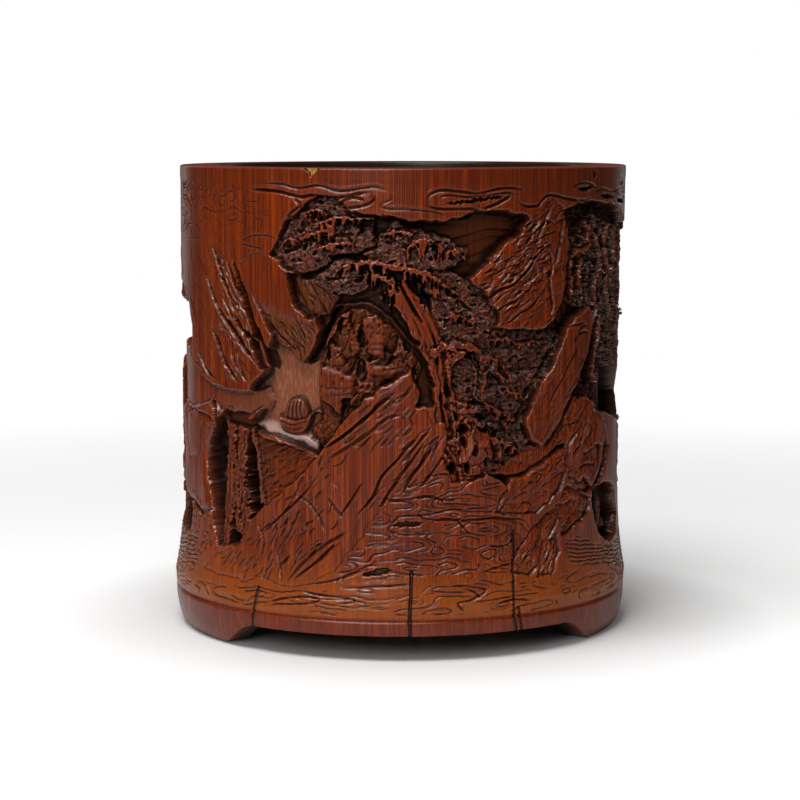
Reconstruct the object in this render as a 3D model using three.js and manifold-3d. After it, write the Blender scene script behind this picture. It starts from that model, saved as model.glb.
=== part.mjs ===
// A bamboo brush pot: one carved length of culm on three feet, the floor let into it from below,
// the lacquer bead round that floor, and the filled repairs in its rim and lower wall.
// Millimetres, +Z up. The front faces -Y. The origin lies between the feet, on the ground.

import * as THREE from "three";
import { mergeVertices } from "three/addons/utils/BufferGeometryUtils.js";
import Module from "manifold-3d";

const wasm = await Module();
wasm.setup();

// Turned form of the culm, from the ground up
const potHeight = 154;
const footRadius = 72.5;
const footLineHeight = 13;
const footLineRadius = 76.5;
const footLineGroove = 0.7; // depth of the incised line, and half its height
const flareHeight = 18;
const flareRadius = 76.8;
const waistHeight = 45;
const waistRadius = 74.2;
const rimRadius = 75;
const rimRounding = 0.8;
const rimLean = 1; // the rim's centre stands this far to the right of the foot's
const plainBelt = 7; // uncarved wall under the rim

// Hollow
const boreRadius = 62;
const rebateRadius = 66;
const rebateTop = 17;

// Feet, in degrees round the pot from the front
const archHeight = 8.3;
const archRise = 14;
const feet = [
  { centre: -71, halfWidth: 19 },
  { centre: 77, halfWidth: 19 },
  { centre: 183, halfWidth: 18 },
];

// Floor and its bead
const floorThickness = 6;
const floorTongue = 1.3; // the floor's middle stands this far up past its shoulder, into the bore
const fitClearance = 0.3;
const sealLeg = 2.2;

// Filled repairs
const fillDepth = 3;
const fillSink = 0.15; // a fill stands this far below the wall round it
const fillClearance = 0.2;
const cutReach = 150; // a cut starts this far outside the wall, clear of it on wide outlines too
const cutClear = 4.2; // just outside the wall, where a cut through the relief has its sides set true
const cutBase = 14.2; // and a cut through the relief ends this far inside, below the deepest form
const crackStep = 3; // longest stretch between two places along a crack

// Fineness of the turned form
const columns = 60;
const rowHeight = 5;
const bandRows = 3;

// The relief is drawn on an unrolled sheet, in millimetres round from the front line and above the
// ground, for a culm of this radius whose carved field lies between these heights. The sheet is
// fitted to the pot's own field. Each form is a terrace at its depth below the turned surface. A
// form covers the deeper ones drawn before it, and cuts into the higher ones.
const sheetRadius = 75;
const sheetFoot = 13;
const sheetTop = 147;
const skyDepth = 6.5;
const hollowDepth = 8;
const waterDepth = 5.5;
const thicketDepth = 5;
const crackedRockDepth = 3.5;
const leafDepth = 2.8;
const canopyDepth = 2.6;
const creviceDepth = 2;
const cliffDepth = 1.5;
const trunkDepth = 1.2;
const bankDepth = 0.9;
const faceDepth = 0.5;
const formOverlap = 0.1; // a form's cut runs this far into the deeper ones beside it
const deepestShare = 0.66; // a culm with a thin wall is carved shallower, to this share of it

const relief = [
  { name: "upper flank at the left", depth: bankDepth, outline: [
    [-131, 108], [-124, 130], [-110, 132], [-106, 110], [-118, 104]] },
  { name: "lower flank at the left", depth: bankDepth, outline: [
    [-131, 92], [-106, 92], [-82, 76], [-80, 56], [-84, 46], [-106, 42], [-120, 44], [-134, 60]] },
  { name: "flank at the right", depth: bankDepth, outline: [
    [98, 71], [117, 86], [121, 134], [138, 136], [134, 112], [129, 84], [137, 56], [124, 40],
    [104, 48]] },
  { name: "flank at the right of the back", depth: bankDepth, outline: [
    [184, 126], [202, 134], [194, 104], [196, 78], [204, 46], [178, 40], [187, 66], [179, 92]] },
  { name: "flank at the left of the back", depth: bankDepth, outline: [
    [270, 118], [286, 140], [301, 132], [298, 104], [290, 84], [302, 56], [286, 34], [258, 38],
    [271, 64], [265, 92]] },
  { name: "sky behind the pine", depth: skyDepth, outline: [
    [-36, 130], [-34, 137], [-26, 141], [-18, 137.5], [-12, 137.5], [-7, 139.2], [-3, 138.4],
    [13, 137.2], [17, 138.4], [23, 140.3], [31, 140.6], [41, 139.2], [44, 134], [36, 124], [28, 116],
    [26, 106], [0, 98], [-22, 104], [-34, 114]] },
  { name: "thicket at the right", depth: thicketDepth, outline: [
    [55, 139], [62, 142], [72, 143], [92, 141], [104, 136], [118, 135], [118, 84], [100, 70],
    [84, 74], [72, 76], [64, 60], [46, 54], [36, 54], [24, 62], [20, 96], [26, 110], [48, 108],
    [53, 118]] },
  { name: "notch at the right", depth: hollowDepth, outline: [
    [86, 88], [94, 91], [121, 92], [128, 76], [122, 69], [100, 70], [88, 74]] },
  { name: "water", depth: waterDepth, outline: [
    [-47, 90], [-45, 98], [-40, 104], [-32, 104], [-26, 110], [-20, 112], [-10, 112], [0, 104],
    [7, 96], [12, 92], [12, 82], [4, 80], [-6, 80], [-20, 68], [-24, 60], [-33, 69], [-45, 70],
    [-55, 71.5], [-49, 77.5], [-53, 84]] },
  { name: "cave at the left", depth: hollowDepth, outline: [
    [-72, 73], [-77, 66], [-79, 58], [-75, 46], [-69, 25], [-58, 29], [-46, 42], [-48, 60],
    [-53, 71], [-62, 74.5]] },
  { name: "rib in the cave", depth: leafDepth, outline: [
    [-67.4, 75], [-62.4, 75], [-62.8, 62], [-63.6, 50], [-65.4, 30], [-70.4, 31], [-68.6, 50],
    [-67.6, 64]] },
  { name: "broad rib in the cave", depth: leafDepth, outline: [
    [-61, 76], [-56, 74.5], [-56.4, 64], [-57.2, 54], [-54, 34], [-60, 28], [-62.6, 46], [-62, 60]] },
  { name: "hollow at the lower left", depth: thicketDepth, outline: [
    [-121, 43], [-106, 44], [-96, 44.5], [-89, 41], [-90, 35], [-98, 32], [-110, 33], [-122, 36]] },
  { name: "hollow at the lower right", depth: skyDepth, outline: [
    [75, 48.5], [84, 50.5], [92, 49], [98, 45], [101, 38], [97, 31.5], [90, 29.5], [82, 33],
    [77, 39]] },
  { name: "rib in that hollow", depth: crackedRockDepth, outline: [
    [79.5, 45], [84, 47], [86.5, 36], [82, 35]] },
  { name: "bank over the cave", depth: bankDepth, outline: [
    [-106, 97], [-96, 93.5], [-86, 90], [-76, 84], [-66, 82.6], [-52, 83.4], [-46, 80], [-47, 76],
    [-56, 73.5], [-64, 75.5], [-76, 74.4], [-88, 74.5], [-106, 76]] },
  { name: "long crevice", depth: waterDepth, outline: [
    [-62, 129], [-57, 121], [-52.3, 112], [-47.5, 102.5], [-43.6, 96.5], [-43, 90], [-49.5, 90],
    [-52.4, 98], [-55.6, 107], [-59, 117]] },
  { name: "notch at the left", depth: waterDepth, outline: [
    [-134, 108], [-108, 109.5], [-98, 112], [-91, 104.6], [-91.6, 98], [-98, 93], [-110, 90.4],
    [-134, 91]] },
  { name: "upper crevice in the cliff", depth: creviceDepth, outline: [
    [-69, 123], [-63.6, 115.4], [-56, 109.4], [-54.4, 110.8], [-61.4, 117.6], [-67.2, 124]] },
  { name: "middle crevice in the cliff", depth: creviceDepth, outline: [
    [-76.5, 118.5], [-70, 110], [-62, 101], [-53.5, 92.2], [-49, 90.4], [-51.6, 94.4], [-60, 103.8],
    [-67.6, 112.2], [-75, 119.8]] },
  { name: "lower crevice in the cliff", depth: creviceDepth, outline: [
    [-74, 102.6], [-66, 95], [-58.5, 86.4], [-55.4, 84], [-56.6, 88.2], [-64, 97.2], [-72.4, 104]] },
  { name: "hanging rock", depth: crackedRockDepth, outline: [
    [-46, 105], [-40, 99.6], [-36, 95.5], [-33.5, 94], [-30, 97], [-27, 102], [-22, 111], [-24, 120],
    [-38, 122], [-37, 113], [-32, 107], [-35, 102.4], [-43.4, 104.8]] },
  { name: "broken rocks", depth: crackedRockDepth, outline: [
    [-22, 108], [-12, 111], [-3, 105], [5, 98], [7, 92], [4, 86], [-4, 82], [-14, 74], [-21, 76],
    [-27, 78], [-28, 88], [-27, 95]] },
  { name: "shore of the water", depth: leafDepth, outline: [
    [-55, 72.5], [-47, 68.6], [-40, 67.4], [-33, 65.6], [-22, 63], [-30, 54], [-38, 48], [-50, 42],
    [-50, 56]] },
  { name: "boat on the water", depth: leafDepth, outline: [
    [-43.4, 75.4], [-41.4, 72.4], [-38, 70.6], [-34.6, 70.6], [-32.2, 73.2], [-31.4, 77],
    [-33.6, 81.4], [-36, 83], [-38.4, 81.6], [-39.8, 77]] },
  { name: "strand by the boat", depth: crackedRockDepth, outline: [
    [-28, 83], [-24, 84], [-18, 78], [-18, 70], [-24, 63], [-30, 69.5], [-30.5, 73], [-27, 76]] },
  { name: "square blocks", depth: canopyDepth, outline: [
    [-27.6, 92], [-20.4, 91.4], [-15.6, 89], [-15.6, 82.4], [-20, 80.6], [-27, 80.6]] },
  { name: "block under the pine", depth: canopyDepth, outline: [
    [-12.4, 107.4], [-8.4, 108.8], [-3.8, 104], [-5.6, 95], [-11.4, 96]] },
  { name: "leaf masses", depth: crackedRockDepth, outline: [
    [24, 108], [38, 107], [50, 106], [54, 99], [47, 86], [41, 78], [40, 70], [46, 64], [32, 58],
    [28, 60], [25, 66], [22, 76], [24, 90]] },
  { name: "left pine pad", depth: canopyDepth, outline: [
    [-45, 127], [-40, 134], [-37, 139], [-32, 141], [-29, 144.5], [-20, 144], [-16, 140], [-9, 139],
    [-9, 130], [-22, 126], [-28, 122], [-34, 121], [-39, 122]] },
  { name: "middle pine pad", depth: canopyDepth, outline: [
    [-12, 126.5], [-8, 131], [-4, 136.5], [2, 136], [8, 135], [17, 131], [23, 128], [18, 124],
    [8, 118.5], [-4, 121.5]] },
  { name: "low pine pad", depth: canopyDepth, outline: [
    [-30, 118], [-26, 122.5], [-20, 125.5], [-15, 125.5], [-10.5, 120], [-12, 116], [-20, 114.6],
    [-28, 115.5]] },
  { name: "right pine pad", depth: canopyDepth, outline: [
    [8, 119], [13, 123], [20, 121], [25, 117], [29, 112], [31, 108], [29, 100], [24, 96], [14, 98],
    [11, 106], [12, 114]] },
  { name: "pine trunk", depth: trunkDepth, outline: [
    [-13.4, 125], [-9, 125.4], [-5, 124.2], [2, 123], [9, 121.4], [11.6, 118], [12.2, 112],
    [12.6, 105], [14.4, 100.4], [20, 99.4], [25, 97.4], [28.6, 94], [33, 88], [30, 88], [27.6, 90],
    [28, 80], [31, 68], [26, 57], [18, 57.5], [15, 64], [12.4, 72], [10.6, 80], [9.6, 88], [8, 94],
    [5.4, 99.6], [2, 105], [-1.4, 109.6], [-3.6, 112.6], [-5.2, 109.6], [-8.6, 110], [-7.8, 114.6],
    [-9.4, 118.6], [-10.4, 122]] },
  { name: "opening among the roots", depth: crackedRockDepth, outline: [
    [16.4, 92], [20, 95.5], [24, 93.4], [24.8, 88], [24, 82.5], [20, 81], [16.8, 84]] },
  { name: "high peak", depth: faceDepth, outline: [
    [21, 120], [26, 123.5], [30, 128], [35, 131], [39, 134], [41, 137.5], [46, 139.5], [49, 143.5],
    [52, 144.3], [56, 141], [58, 137], [60, 129], [58.5, 120], [57, 112], [54, 106], [48, 103],
    [36, 102.5], [31, 104], [28.6, 110], [25, 115.4]] },
  { name: "leaning slab", depth: faceDepth, outline: [
    [72, 109], [74.4, 104.4], [72, 96.6], [65, 87.4], [58.6, 79.4], [53, 72.4], [47, 66], [43, 70],
    [42, 76], [45.4, 82.6], [50, 89.6], [56, 99], [64, 107]] },
  { name: "right foliage", depth: leafDepth, outline: [
    [60, 128], [67, 135], [76, 138], [90, 134], [124, 132], [124, 89], [106, 86], [92, 88], [80, 92],
    [76, 100], [70, 109], [61, 112], [58, 120]] },
  { name: "right boulders", depth: faceDepth, outline: [
    [66, 78], [74, 80], [81, 74], [88, 64], [86, 55], [76, 49], [68, 50], [62, 54], [63, 64]] },
  { name: "foot rocks", depth: faceDepth, outline: [
    [31, 46.5], [33, 52], [37, 56], [44, 58.5], [52, 62], [61, 65], [61.5, 58], [56, 47], [56.5, 30],
    [46, 24], [36, 27], [44, 40], [42, 45.5]] },
  { name: "great slab", depth: faceDepth, outline: [
    [-76, 23.5], [-66, 30.5], [-60, 32.5], [-56, 36], [-50, 45], [-44, 49], [-38, 54], [-27, 65],
    [-17, 77], [-6, 86.5], [0, 90], [3, 93], [4.5, 88], [6.3, 85], [5, 80.5], [8.3, 79], [10, 75.5],
    [14.3, 74.5], [15, 70], [9, 59], [2, 52], [-6, 48], [-16, 34.5], [-30, 23.5], [-55, 21.5]] },
  // Sides and back
  { name: "gorge at the left", depth: skyDepth, outline: [
    [-132, 112], [-138, 132], [-158, 141], [-182, 138], [-186, 110], [-176, 84], [-182, 56],
    [-168, 34], [-142, 32], [-134, 60], [-127, 76]] },
  { name: "cliff in the gorge", depth: cliffDepth, outline: [
    [-140, 118], [-150, 130], [-158, 120], [-160, 96], [-152, 78], [-156, 54], [-146, 40], [-138, 52],
    [-142, 76], [-136, 96]] },
  { name: "valley at the back", depth: skyDepth, outline: [
    [196, 108], [206, 132], [232, 142], [262, 138], [272, 118], [264, 92], [270, 66], [256, 40],
    [226, 34], [204, 44], [198, 76]] },
  { name: "stacked cliffs at the back", depth: cliffDepth, outline: [
    [208, 44], [214, 70], [208, 92], [218, 112], [232, 124], [240, 108], [236, 86], [246, 66],
    [240, 44], [224, 38]] },
  { name: "gorge at the right", depth: skyDepth, outline: [
    [140, 58], [132, 84], [140, 116], [152, 134], [172, 138], [184, 120], [178, 92], [186, 64],
    [174, 42], [154, 40]] },
  { name: "rock wall in the gorge", depth: cliffDepth, outline: [
    [158, 44], [164, 66], [156, 86], [160, 106], [170, 120], [177, 102], [171, 84], [179, 62],
    [170, 46]] },
  // Bushes over the gorges: place round, height, width, height of the tuft
  ...[[250, 130, 13, 7], [254, 100, 12, 7], [256, 62, 11, 6], [-171, 132, 12, 7], [-172, 96, 12, 7],
    [-170, 60, 11, 6], [152, 124, 10, 6], [168, 118, 12, 7], [224, 120, 15, 8]].map(bush),
];

function bush([s, z, wide, tall]) {
  const sides = [[-2, 0], [-1, -2], [1, -2], [2, 0], [1, 2], [-1, 2]];
  const outline = sides.map(([across, up]) => [s + (across * wide) / 4, z + (up * tall) / 4]);
  return { name: "bush", depth: canopyDepth, outline };
}

// Filled cracks, drawn on the same sheet: each starts at the arch's edge and runs up its path
const cracks = [
  { name: "crack_fill_left", width: 1.2, colour: 0x3a2a24,
    footS: -49.8, path: [[-49.3, 12.9], [-48.3, 17], [-47.6, 21]] },
  { name: "crack_fill_centre", width: 0.8, colour: 0x120a08,
    footS: 3.1, path: [[3, 14], [3.3, 20], [3.5, 25], [3.6, 28.5]] },
  { name: "crack_fill_right_inner", width: 0.8, colour: 0x24160f,
    footS: 37.9, path: [[37.1, 12.5], [36.8, 16], [36.8, 20], [37.1, 26], [37.4, 33], [37.7, 40]] },
  { name: "crack_fill_right_outer", width: 0.8, colour: 0x24160f,
    footS: 39.9, path: [[39.1, 12], [38.6, 15.6]] },
];

// Filled chips near the rim: round from the front line, and down from the rim's top
const rimChip = { name: "rim_chip_fill", colour: 0xb8892f,
  outline: [[-31, 0], [-29.7, 1.1], [-29.3, 2.4], [-28, 1.4], [-27.2, 0]] };
const rimKnot = { name: "rim_knot_fill", colour: 0x1a100c,
  outline: [[71.2, 1.6], [71.5, 3.1], [72.4, 3.7], [73.3, 3], [73.4, 1.4], [72.4, 0.9]] };

const fieldTop = potHeight - plainBelt;

const bamboo = { color: 0x7a2e12, roughness: 0.42, metalness: 0 };
const floorWood = { color: 0x4a2a1c, roughness: 0.6, metalness: 0 };
const lacquer = { color: 0x1c100c, roughness: 0.35, metalness: 0 };

// Turned form

function footBandRadius(z) {
  const share = THREE.MathUtils.clamp(z / footLineHeight, 0, 1);
  return footRadius + (footLineRadius - footRadius) * Math.sqrt(1 - (1 - share) ** 2);
}

function turnedRadius(z) {
  if (z < footLineHeight) return footBandRadius(z);
  if (z < flareHeight) {
    const share = (z - footLineHeight) / (flareHeight - footLineHeight);
    return footLineRadius + (flareRadius - footLineRadius) * share;
  }
  if (z < waistHeight) {
    const share = (z - flareHeight) / (waistHeight - flareHeight);
    return waistRadius + (flareRadius - waistRadius) * (1 - share) ** 2;
  }
  const share = (z - waistHeight) / (potHeight - waistHeight);
  return waistRadius + (rimRadius - waistRadius) * Math.min(share, 1);
}

function leanAt(z) {
  return (rimLean * Math.max(0, z - flareHeight)) / (potHeight - flareHeight);
}

function placed(angle, z, radius) {
  return [leanAt(z) + radius * Math.sin(angle), -radius * Math.cos(angle), z];
}

// Lower edge of the wall: on the ground at the feet, raised to the arches between them
function lowerEdge(angle) {
  const degrees = THREE.MathUtils.radToDeg(angle);
  let clear = 360;
  for (const foot of feet) {
    const away = Math.abs(((degrees - foot.centre + 540) % 360) - 180);
    clear = Math.min(clear, away - foot.halfWidth);
  }
  return archHeight * THREE.MathUtils.smoothstep(clear, 0, archRise);
}

// Relief

function potPlace([s, sheetZ]) {
  const share = (sheetZ - sheetFoot) / (sheetTop - sheetFoot);
  return [s / sheetRadius, footLineHeight + share * (fieldTop - footLineHeight)];
}

// Solids

function closedGeometry(positions, indices) {
  const geometry = new THREE.BufferGeometry();
  geometry.setAttribute("position", new THREE.Float32BufferAttribute(positions, 3));
  geometry.setIndex(indices);
  geometry.computeVertexNormals();
  return geometry;
}

function toSolid(geometry) {
  const bare = geometry.clone();
  bare.deleteAttribute("normal");
  bare.deleteAttribute("uv");
  const merged = mergeVertices(bare);
  return new wasm.Manifold(new wasm.Mesh({
    numProp: 3,
    vertProperties: new Float32Array(merged.attributes.position.array),
    triVerts: new Uint32Array(merged.index.array),
  }));
}

function fromSolid(solid) {
  const mesh = solid.getMesh();
  return closedGeometry(Array.from(mesh.vertProperties), Array.from(mesh.triVerts));
}

// The turned form between the foot line and the plain belt, as heights and radii at a depth below
// its surface, close together where it curves
function fieldProfile(depth) {
  const heights = [footLineHeight + footLineGroove, flareHeight];
  for (let z = flareHeight + rowHeight; z < waistHeight; z += rowHeight) heights.push(z);
  return [...heights, waistHeight, fieldTop].map((z) => [z, turnedRadius(z) - depth]);
}

// Outline of the wall's section at an angle, up the outside, over the rim and down the inside
function wallSection(angle) {
  const edge = lowerEdge(angle);
  const bandTop = footLineHeight - footLineGroove;
  const section = [];
  for (let row = 0; row <= bandRows; row++) {
    const z = edge + ((bandTop - edge) * row) / bandRows;
    section.push([z, footBandRadius(z)]);
  }
  section.push([footLineHeight, footLineRadius - footLineGroove]);
  section.push(...fieldProfile(0));
  section.push([potHeight - rimRounding, rimRadius]);
  section.push([potHeight, rimRadius - rimRounding]);
  section.push([potHeight, boreRadius + rimRounding]);
  section.push([potHeight - rimRounding, boreRadius]);
  section.push([rebateTop, boreRadius]);
  section.push([rebateTop, rebateRadius]);
  section.push([edge, rebateRadius]);
  return section;
}

// Section of what a carver would keep below one depth, down to well inside every cut
function keptSection(depth) {
  const inside = rimRadius / 2;
  return [...fieldProfile(depth), [fieldTop, inside], [footLineHeight, inside]];
}

// A ring round the pot from its section at each angle
function ringSolid(sectionAt) {
  const positions = [];
  const indices = [];
  let rows = 0;
  for (let index = 0; index < columns; index++) {
    const angle = (2 * Math.PI * index) / columns - Math.PI;
    const section = sectionAt(angle);
    rows = section.length;
    for (const [z, radius] of section) positions.push(...placed(angle, z, radius));
  }
  for (let index = 0; index < columns; index++) {
    const next = (index + 1) % columns;
    for (let row = 0; row < rows; row++) {
      const above = (row + 1) % rows;
      const a = index * rows + row;
      const b = next * rows + row;
      const c = next * rows + above;
      const d = index * rows + above;
      indices.push(a, b, c, a, c, d);
    }
  }
  return toSolid(closedGeometry(positions, indices));
}

function unrolled(corners) {
  return corners.map(([angle, z]) => new THREE.Vector2(angle * rimRadius, z));
}

// A solid through several depths below the wall's surface, the outermost first, from its corners
// round the pot. Its sides lie truest between depths that are close together.
function wrappedSolid(drawnCorners, depths) {
  const clockwise = THREE.ShapeUtils.isClockWise(unrolled(drawnCorners));
  const corners = clockwise ? [...drawnCorners].reverse() : drawnCorners;
  const caps = THREE.ShapeUtils.triangulateShape(unrolled(corners), []);
  const count = corners.length;
  const innermost = count * (depths.length - 1);
  const positions = [];
  for (const depth of depths) {
    for (const [angle, z] of corners) positions.push(...placed(angle, z, rimRadius - depth));
  }
  const indices = [];
  for (const [a, b, c] of caps) {
    indices.push(a, b, c, a + innermost, c + innermost, b + innermost);
  }
  for (let layer = 0; layer < innermost; layer += count) {
    for (let index = 0; index < count; index++) {
      const a = layer + index;
      const b = layer + ((index + 1) % count);
      indices.push(a, a + count, b + count, a, b + count, b);
    }
  }
  return closedGeometry(positions, indices);
}

// Places along a crack, from the arch's edge upwards, close enough to follow the wall
function crackStations({ footS, path }) {
  const ends = [[footS / sheetRadius, archHeight + fillSink], ...path.map(potPlace)];
  const stations = [ends[0]];
  for (let index = 1; index < ends.length; index++) {
    const [fromAngle, fromZ] = ends[index - 1];
    const [toAngle, toZ] = ends[index];
    const steps = Math.ceil((toZ - fromZ) / crackStep);
    for (let step = 1; step <= steps; step++) {
      const share = step / steps;
      stations.push([fromAngle + (toAngle - fromAngle) * share, fromZ + (toZ - fromZ) * share]);
    }
  }
  return stations;
}

// A strip along a crack's stations, between two depths below the wall's surface
function crackSolid(stations, halfWidth, outerDepth, innerDepth) {
  const halfAngle = halfWidth / rimRadius;
  const positions = [];
  for (const [angle, z] of stations) {
    const surface = turnedRadius(z);
    positions.push(...placed(angle - halfAngle, z, surface - innerDepth));
    positions.push(...placed(angle + halfAngle, z, surface - innerDepth));
    positions.push(...placed(angle + halfAngle, z, surface - outerDepth));
    positions.push(...placed(angle - halfAngle, z, surface - outerDepth));
  }
  const indices = [0, 1, 2, 0, 2, 3];
  const top = 4 * (stations.length - 1);
  indices.push(top, top + 2, top + 1, top, top + 3, top + 2);
  for (let base = 0; base < top; base += 4) {
    for (let side = 0; side < 4; side++) {
      const a = base + side;
      const b = base + ((side + 1) % 4);
      indices.push(a, b + 4, b, a, a + 4, b + 4);
    }
  }
  return closedGeometry(positions, indices);
}

// Corners of an outline moved outwards by a distance along the walls' own directions
function grown(corners, distance) {
  const flat = unrolled(corners);
  const turnWay = Math.sign(THREE.ShapeUtils.area(flat));
  return flat.map((corner, index) => {
    const before = flat[(index + flat.length - 1) % flat.length];
    const after = flat[(index + 1) % flat.length];
    const away = new THREE.Vector2();
    for (const [from, to] of [[before, corner], [corner, after]]) {
      const along = to.clone().sub(from).normalize();
      away.add(new THREE.Vector2(along.y, -along.x).multiplyScalar(turnWay));
    }
    const moved = corner.clone().addScaledVector(away.normalize(), distance);
    return [moved.x / rimRadius, moved.y];
  });
}

// The wall with every form of the relief. Forms of one depth are cut together, each less the higher
// forms that were drawn over it.
function carvedWall() {
  const corners = relief.map(({ outline }) => outline.map(potPlace));
  const widest = Math.max(flareRadius, footLineRadius, rimRadius);
  const narrowest = Math.min(waistRadius, rimRadius);
  const depths = [-cutReach, rimRadius - widest - cutClear, rimRadius - narrowest + cutBase];
  const allowed = deepestShare * (narrowest - boreRadius);
  const depthScale = Math.min(1, allowed / Math.max(...relief.map(({ depth }) => depth)));
  const blocks = corners.map((places) => toSolid(wrappedSolid(places, depths)));
  const cuts = new Map();
  relief.forEach(({ depth }, index) => {
    let cut = toSolid(wrappedSolid(grown(corners[index], formOverlap), depths));
    relief.forEach((later, place) => {
      if (place > index && later.depth < depth) cut = cut.subtract(blocks[place]);
    });
    cuts.set(depth, cuts.has(depth) ? cuts.get(depth).add(cut) : cut);
  });
  let wall = ringSolid(wallSection);
  for (const [depth, cut] of cuts) {
    wall = wall.subtract(cut.subtract(ringSolid(() => keptSection(depth * depthScale))));
  }
  return wall;
}

// Model

const pot = new THREE.Group();

function addPiece(name, geometry, look) {
  const piece = new THREE.Mesh(geometry, new THREE.MeshStandardMaterial(look));
  piece.name = name;
  pot.add(piece);
}

let culm = carvedWall();

function cutAndFill(name, recess, fill, colour) {
  culm = culm.subtract(toSolid(recess));
  addPiece(name, fill, { color: colour, roughness: 0.4, metalness: 0 });
}

for (const crack of cracks) {
  const stations = crackStations(crack);
  const [lowAngle, lowZ] = stations[0];
  const [highAngle, highZ] = stations[stations.length - 1];
  const slotStations = [[lowAngle, lowZ - archHeight], ...stations, [highAngle, highZ + fillClearance]];
  const slotHalfWidth = crack.width / 2 + fillClearance;
  const slot = crackSolid(slotStations, slotHalfWidth, -cutReach, fillDepth + fillClearance);
  const fill = crackSolid(stations, crack.width / 2, fillSink, fillDepth);
  cutAndFill(crack.name, slot, fill, crack.colour);
}

for (const { name, outline, colour } of [rimChip, rimKnot]) {
  const corners = outline.map(([s, drop]) => [s / sheetRadius, potHeight - fillSink - drop]);
  const recessCorners = grown(corners, fillClearance);
  const recess = wrappedSolid(recessCorners, [-cutReach, fillDepth + fillClearance]);
  cutAndFill(name, recess, wrappedSolid(corners, [rimRounding, fillDepth]), colour);
}

addPiece("culm_wall", fromSolid(culm), bamboo);

function floorStep(radius, bottom, top) {
  const step = new THREE.CylinderGeometry(radius, radius, top - bottom, columns);
  step.rotateX(Math.PI / 2);
  step.translate(0, 0, (top + bottom) / 2);
  return toSolid(step);
}

const floorShoulder = rebateTop - fitClearance;
const floorUnderside = floorShoulder - floorThickness;
const floorRadius = rebateRadius - fitClearance;
const floorMiddle = (floorShoulder + floorUnderside) / 2;
const floorBase = floorStep(floorRadius, floorUnderside, floorShoulder);
const tongue = floorStep(boreRadius - fitClearance, floorMiddle, floorShoulder + floorTongue);
addPiece("floor_disc", fromSolid(floorBase.add(tongue)), floorWood);

const beadTop = floorUnderside - fitClearance;
const beadProfile = [
  new THREE.Vector2(floorRadius, beadTop),
  new THREE.Vector2(floorRadius - sealLeg, beadTop),
  new THREE.Vector2(floorRadius, beadTop - sealLeg),
  new THREE.Vector2(floorRadius, beadTop),
];
const bead = new THREE.LatheGeometry(beadProfile, columns);
bead.rotateX(Math.PI / 2);
addPiece("floor_seal", bead, lacquer);

export default pot;
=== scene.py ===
import bpy
import math
import numpy as np
from collections import namedtuple
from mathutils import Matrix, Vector


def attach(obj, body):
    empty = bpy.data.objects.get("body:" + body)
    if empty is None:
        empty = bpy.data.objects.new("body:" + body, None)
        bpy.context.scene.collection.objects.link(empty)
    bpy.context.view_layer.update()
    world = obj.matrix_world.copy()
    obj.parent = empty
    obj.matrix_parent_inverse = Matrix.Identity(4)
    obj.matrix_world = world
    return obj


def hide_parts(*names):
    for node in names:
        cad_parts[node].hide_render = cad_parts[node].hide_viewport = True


# A carved bamboo brush pot. The relief is worked as one depth map on an unrolled sheet of the wall:
# s runs round from the front line (+ to the right), z up from the ground, both in millimetres.
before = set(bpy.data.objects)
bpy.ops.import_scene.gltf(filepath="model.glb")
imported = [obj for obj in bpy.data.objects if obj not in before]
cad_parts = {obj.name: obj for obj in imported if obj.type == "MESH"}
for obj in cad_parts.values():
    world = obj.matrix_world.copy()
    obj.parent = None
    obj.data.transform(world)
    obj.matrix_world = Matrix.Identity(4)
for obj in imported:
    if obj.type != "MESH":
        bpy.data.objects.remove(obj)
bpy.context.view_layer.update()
print("frame loaded:", len(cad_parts), "nodes")

turned = {
    "potHeight": 154.0, "footRadius": 72.5, "footLine": 13.0, "footLineRadius": 76.5, "lineCut": 0.7,
    "flareHeight": 18.0, "flareRadius": 76.8, "waistHeight": 45.0, "waistRadius": 74.2,
    "rimRadius": 75.0, "rimRounding": 0.8, "rimLean": 1.0, "boreRadius": 62.0,
    "rebateRadius": 66.0, "rebateTop": 17.0, "archHeight": 8.3, "archRise": 14.0,
    "feet": ((-71, 19), (77, 19), (183, 18)),   # centre and half width, in degrees round
}
sheet = {"columns": 1440, "rows": 431, "foot": 13.0, "top": 153.2, "radius": 75.0, "sectors": 8}
sStep = 2 * math.pi * sheet["radius"] / sheet["columns"]
zStep = (sheet["top"] - sheet["foot"]) / (sheet["rows"] - 1)


# Smooth step from 0 at low to 1 at high
def ramp(value, low, high):
    share = np.clip((value - low) / (high - low), 0, 1)
    return share * share * (3 - 2 * share)


# Smooth noise with one seeded slope at each whole place; it closes after around steps of u
def noiseAt(u, v, seed, around=256):
    turns = np.random.default_rng(seed).uniform(0, 2 * math.pi, (256, max(256, around)))
    iu, iv = np.floor(u).astype(int), np.floor(v).astype(int)
    fu, fv = u - iu, v - iv

    def corner(a, b):
        turn = turns[(iv + b) % 256, (iu + a) % around]
        return np.cos(turn) * (fu - a) + np.sin(turn) * (fv - b)

    wu = fu ** 3 * (fu * (fu * 6 - 15) + 10)
    wv = fv ** 3 * (fv * (fv * 6 - 15) + 10)
    low = corner(0, 0) * (1 - wu) + corner(1, 0) * wu
    high = corner(0, 1) * (1 - wu) + corner(1, 1) * wu
    return 1.5 * (low * (1 - wv) + high * wv)


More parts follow.
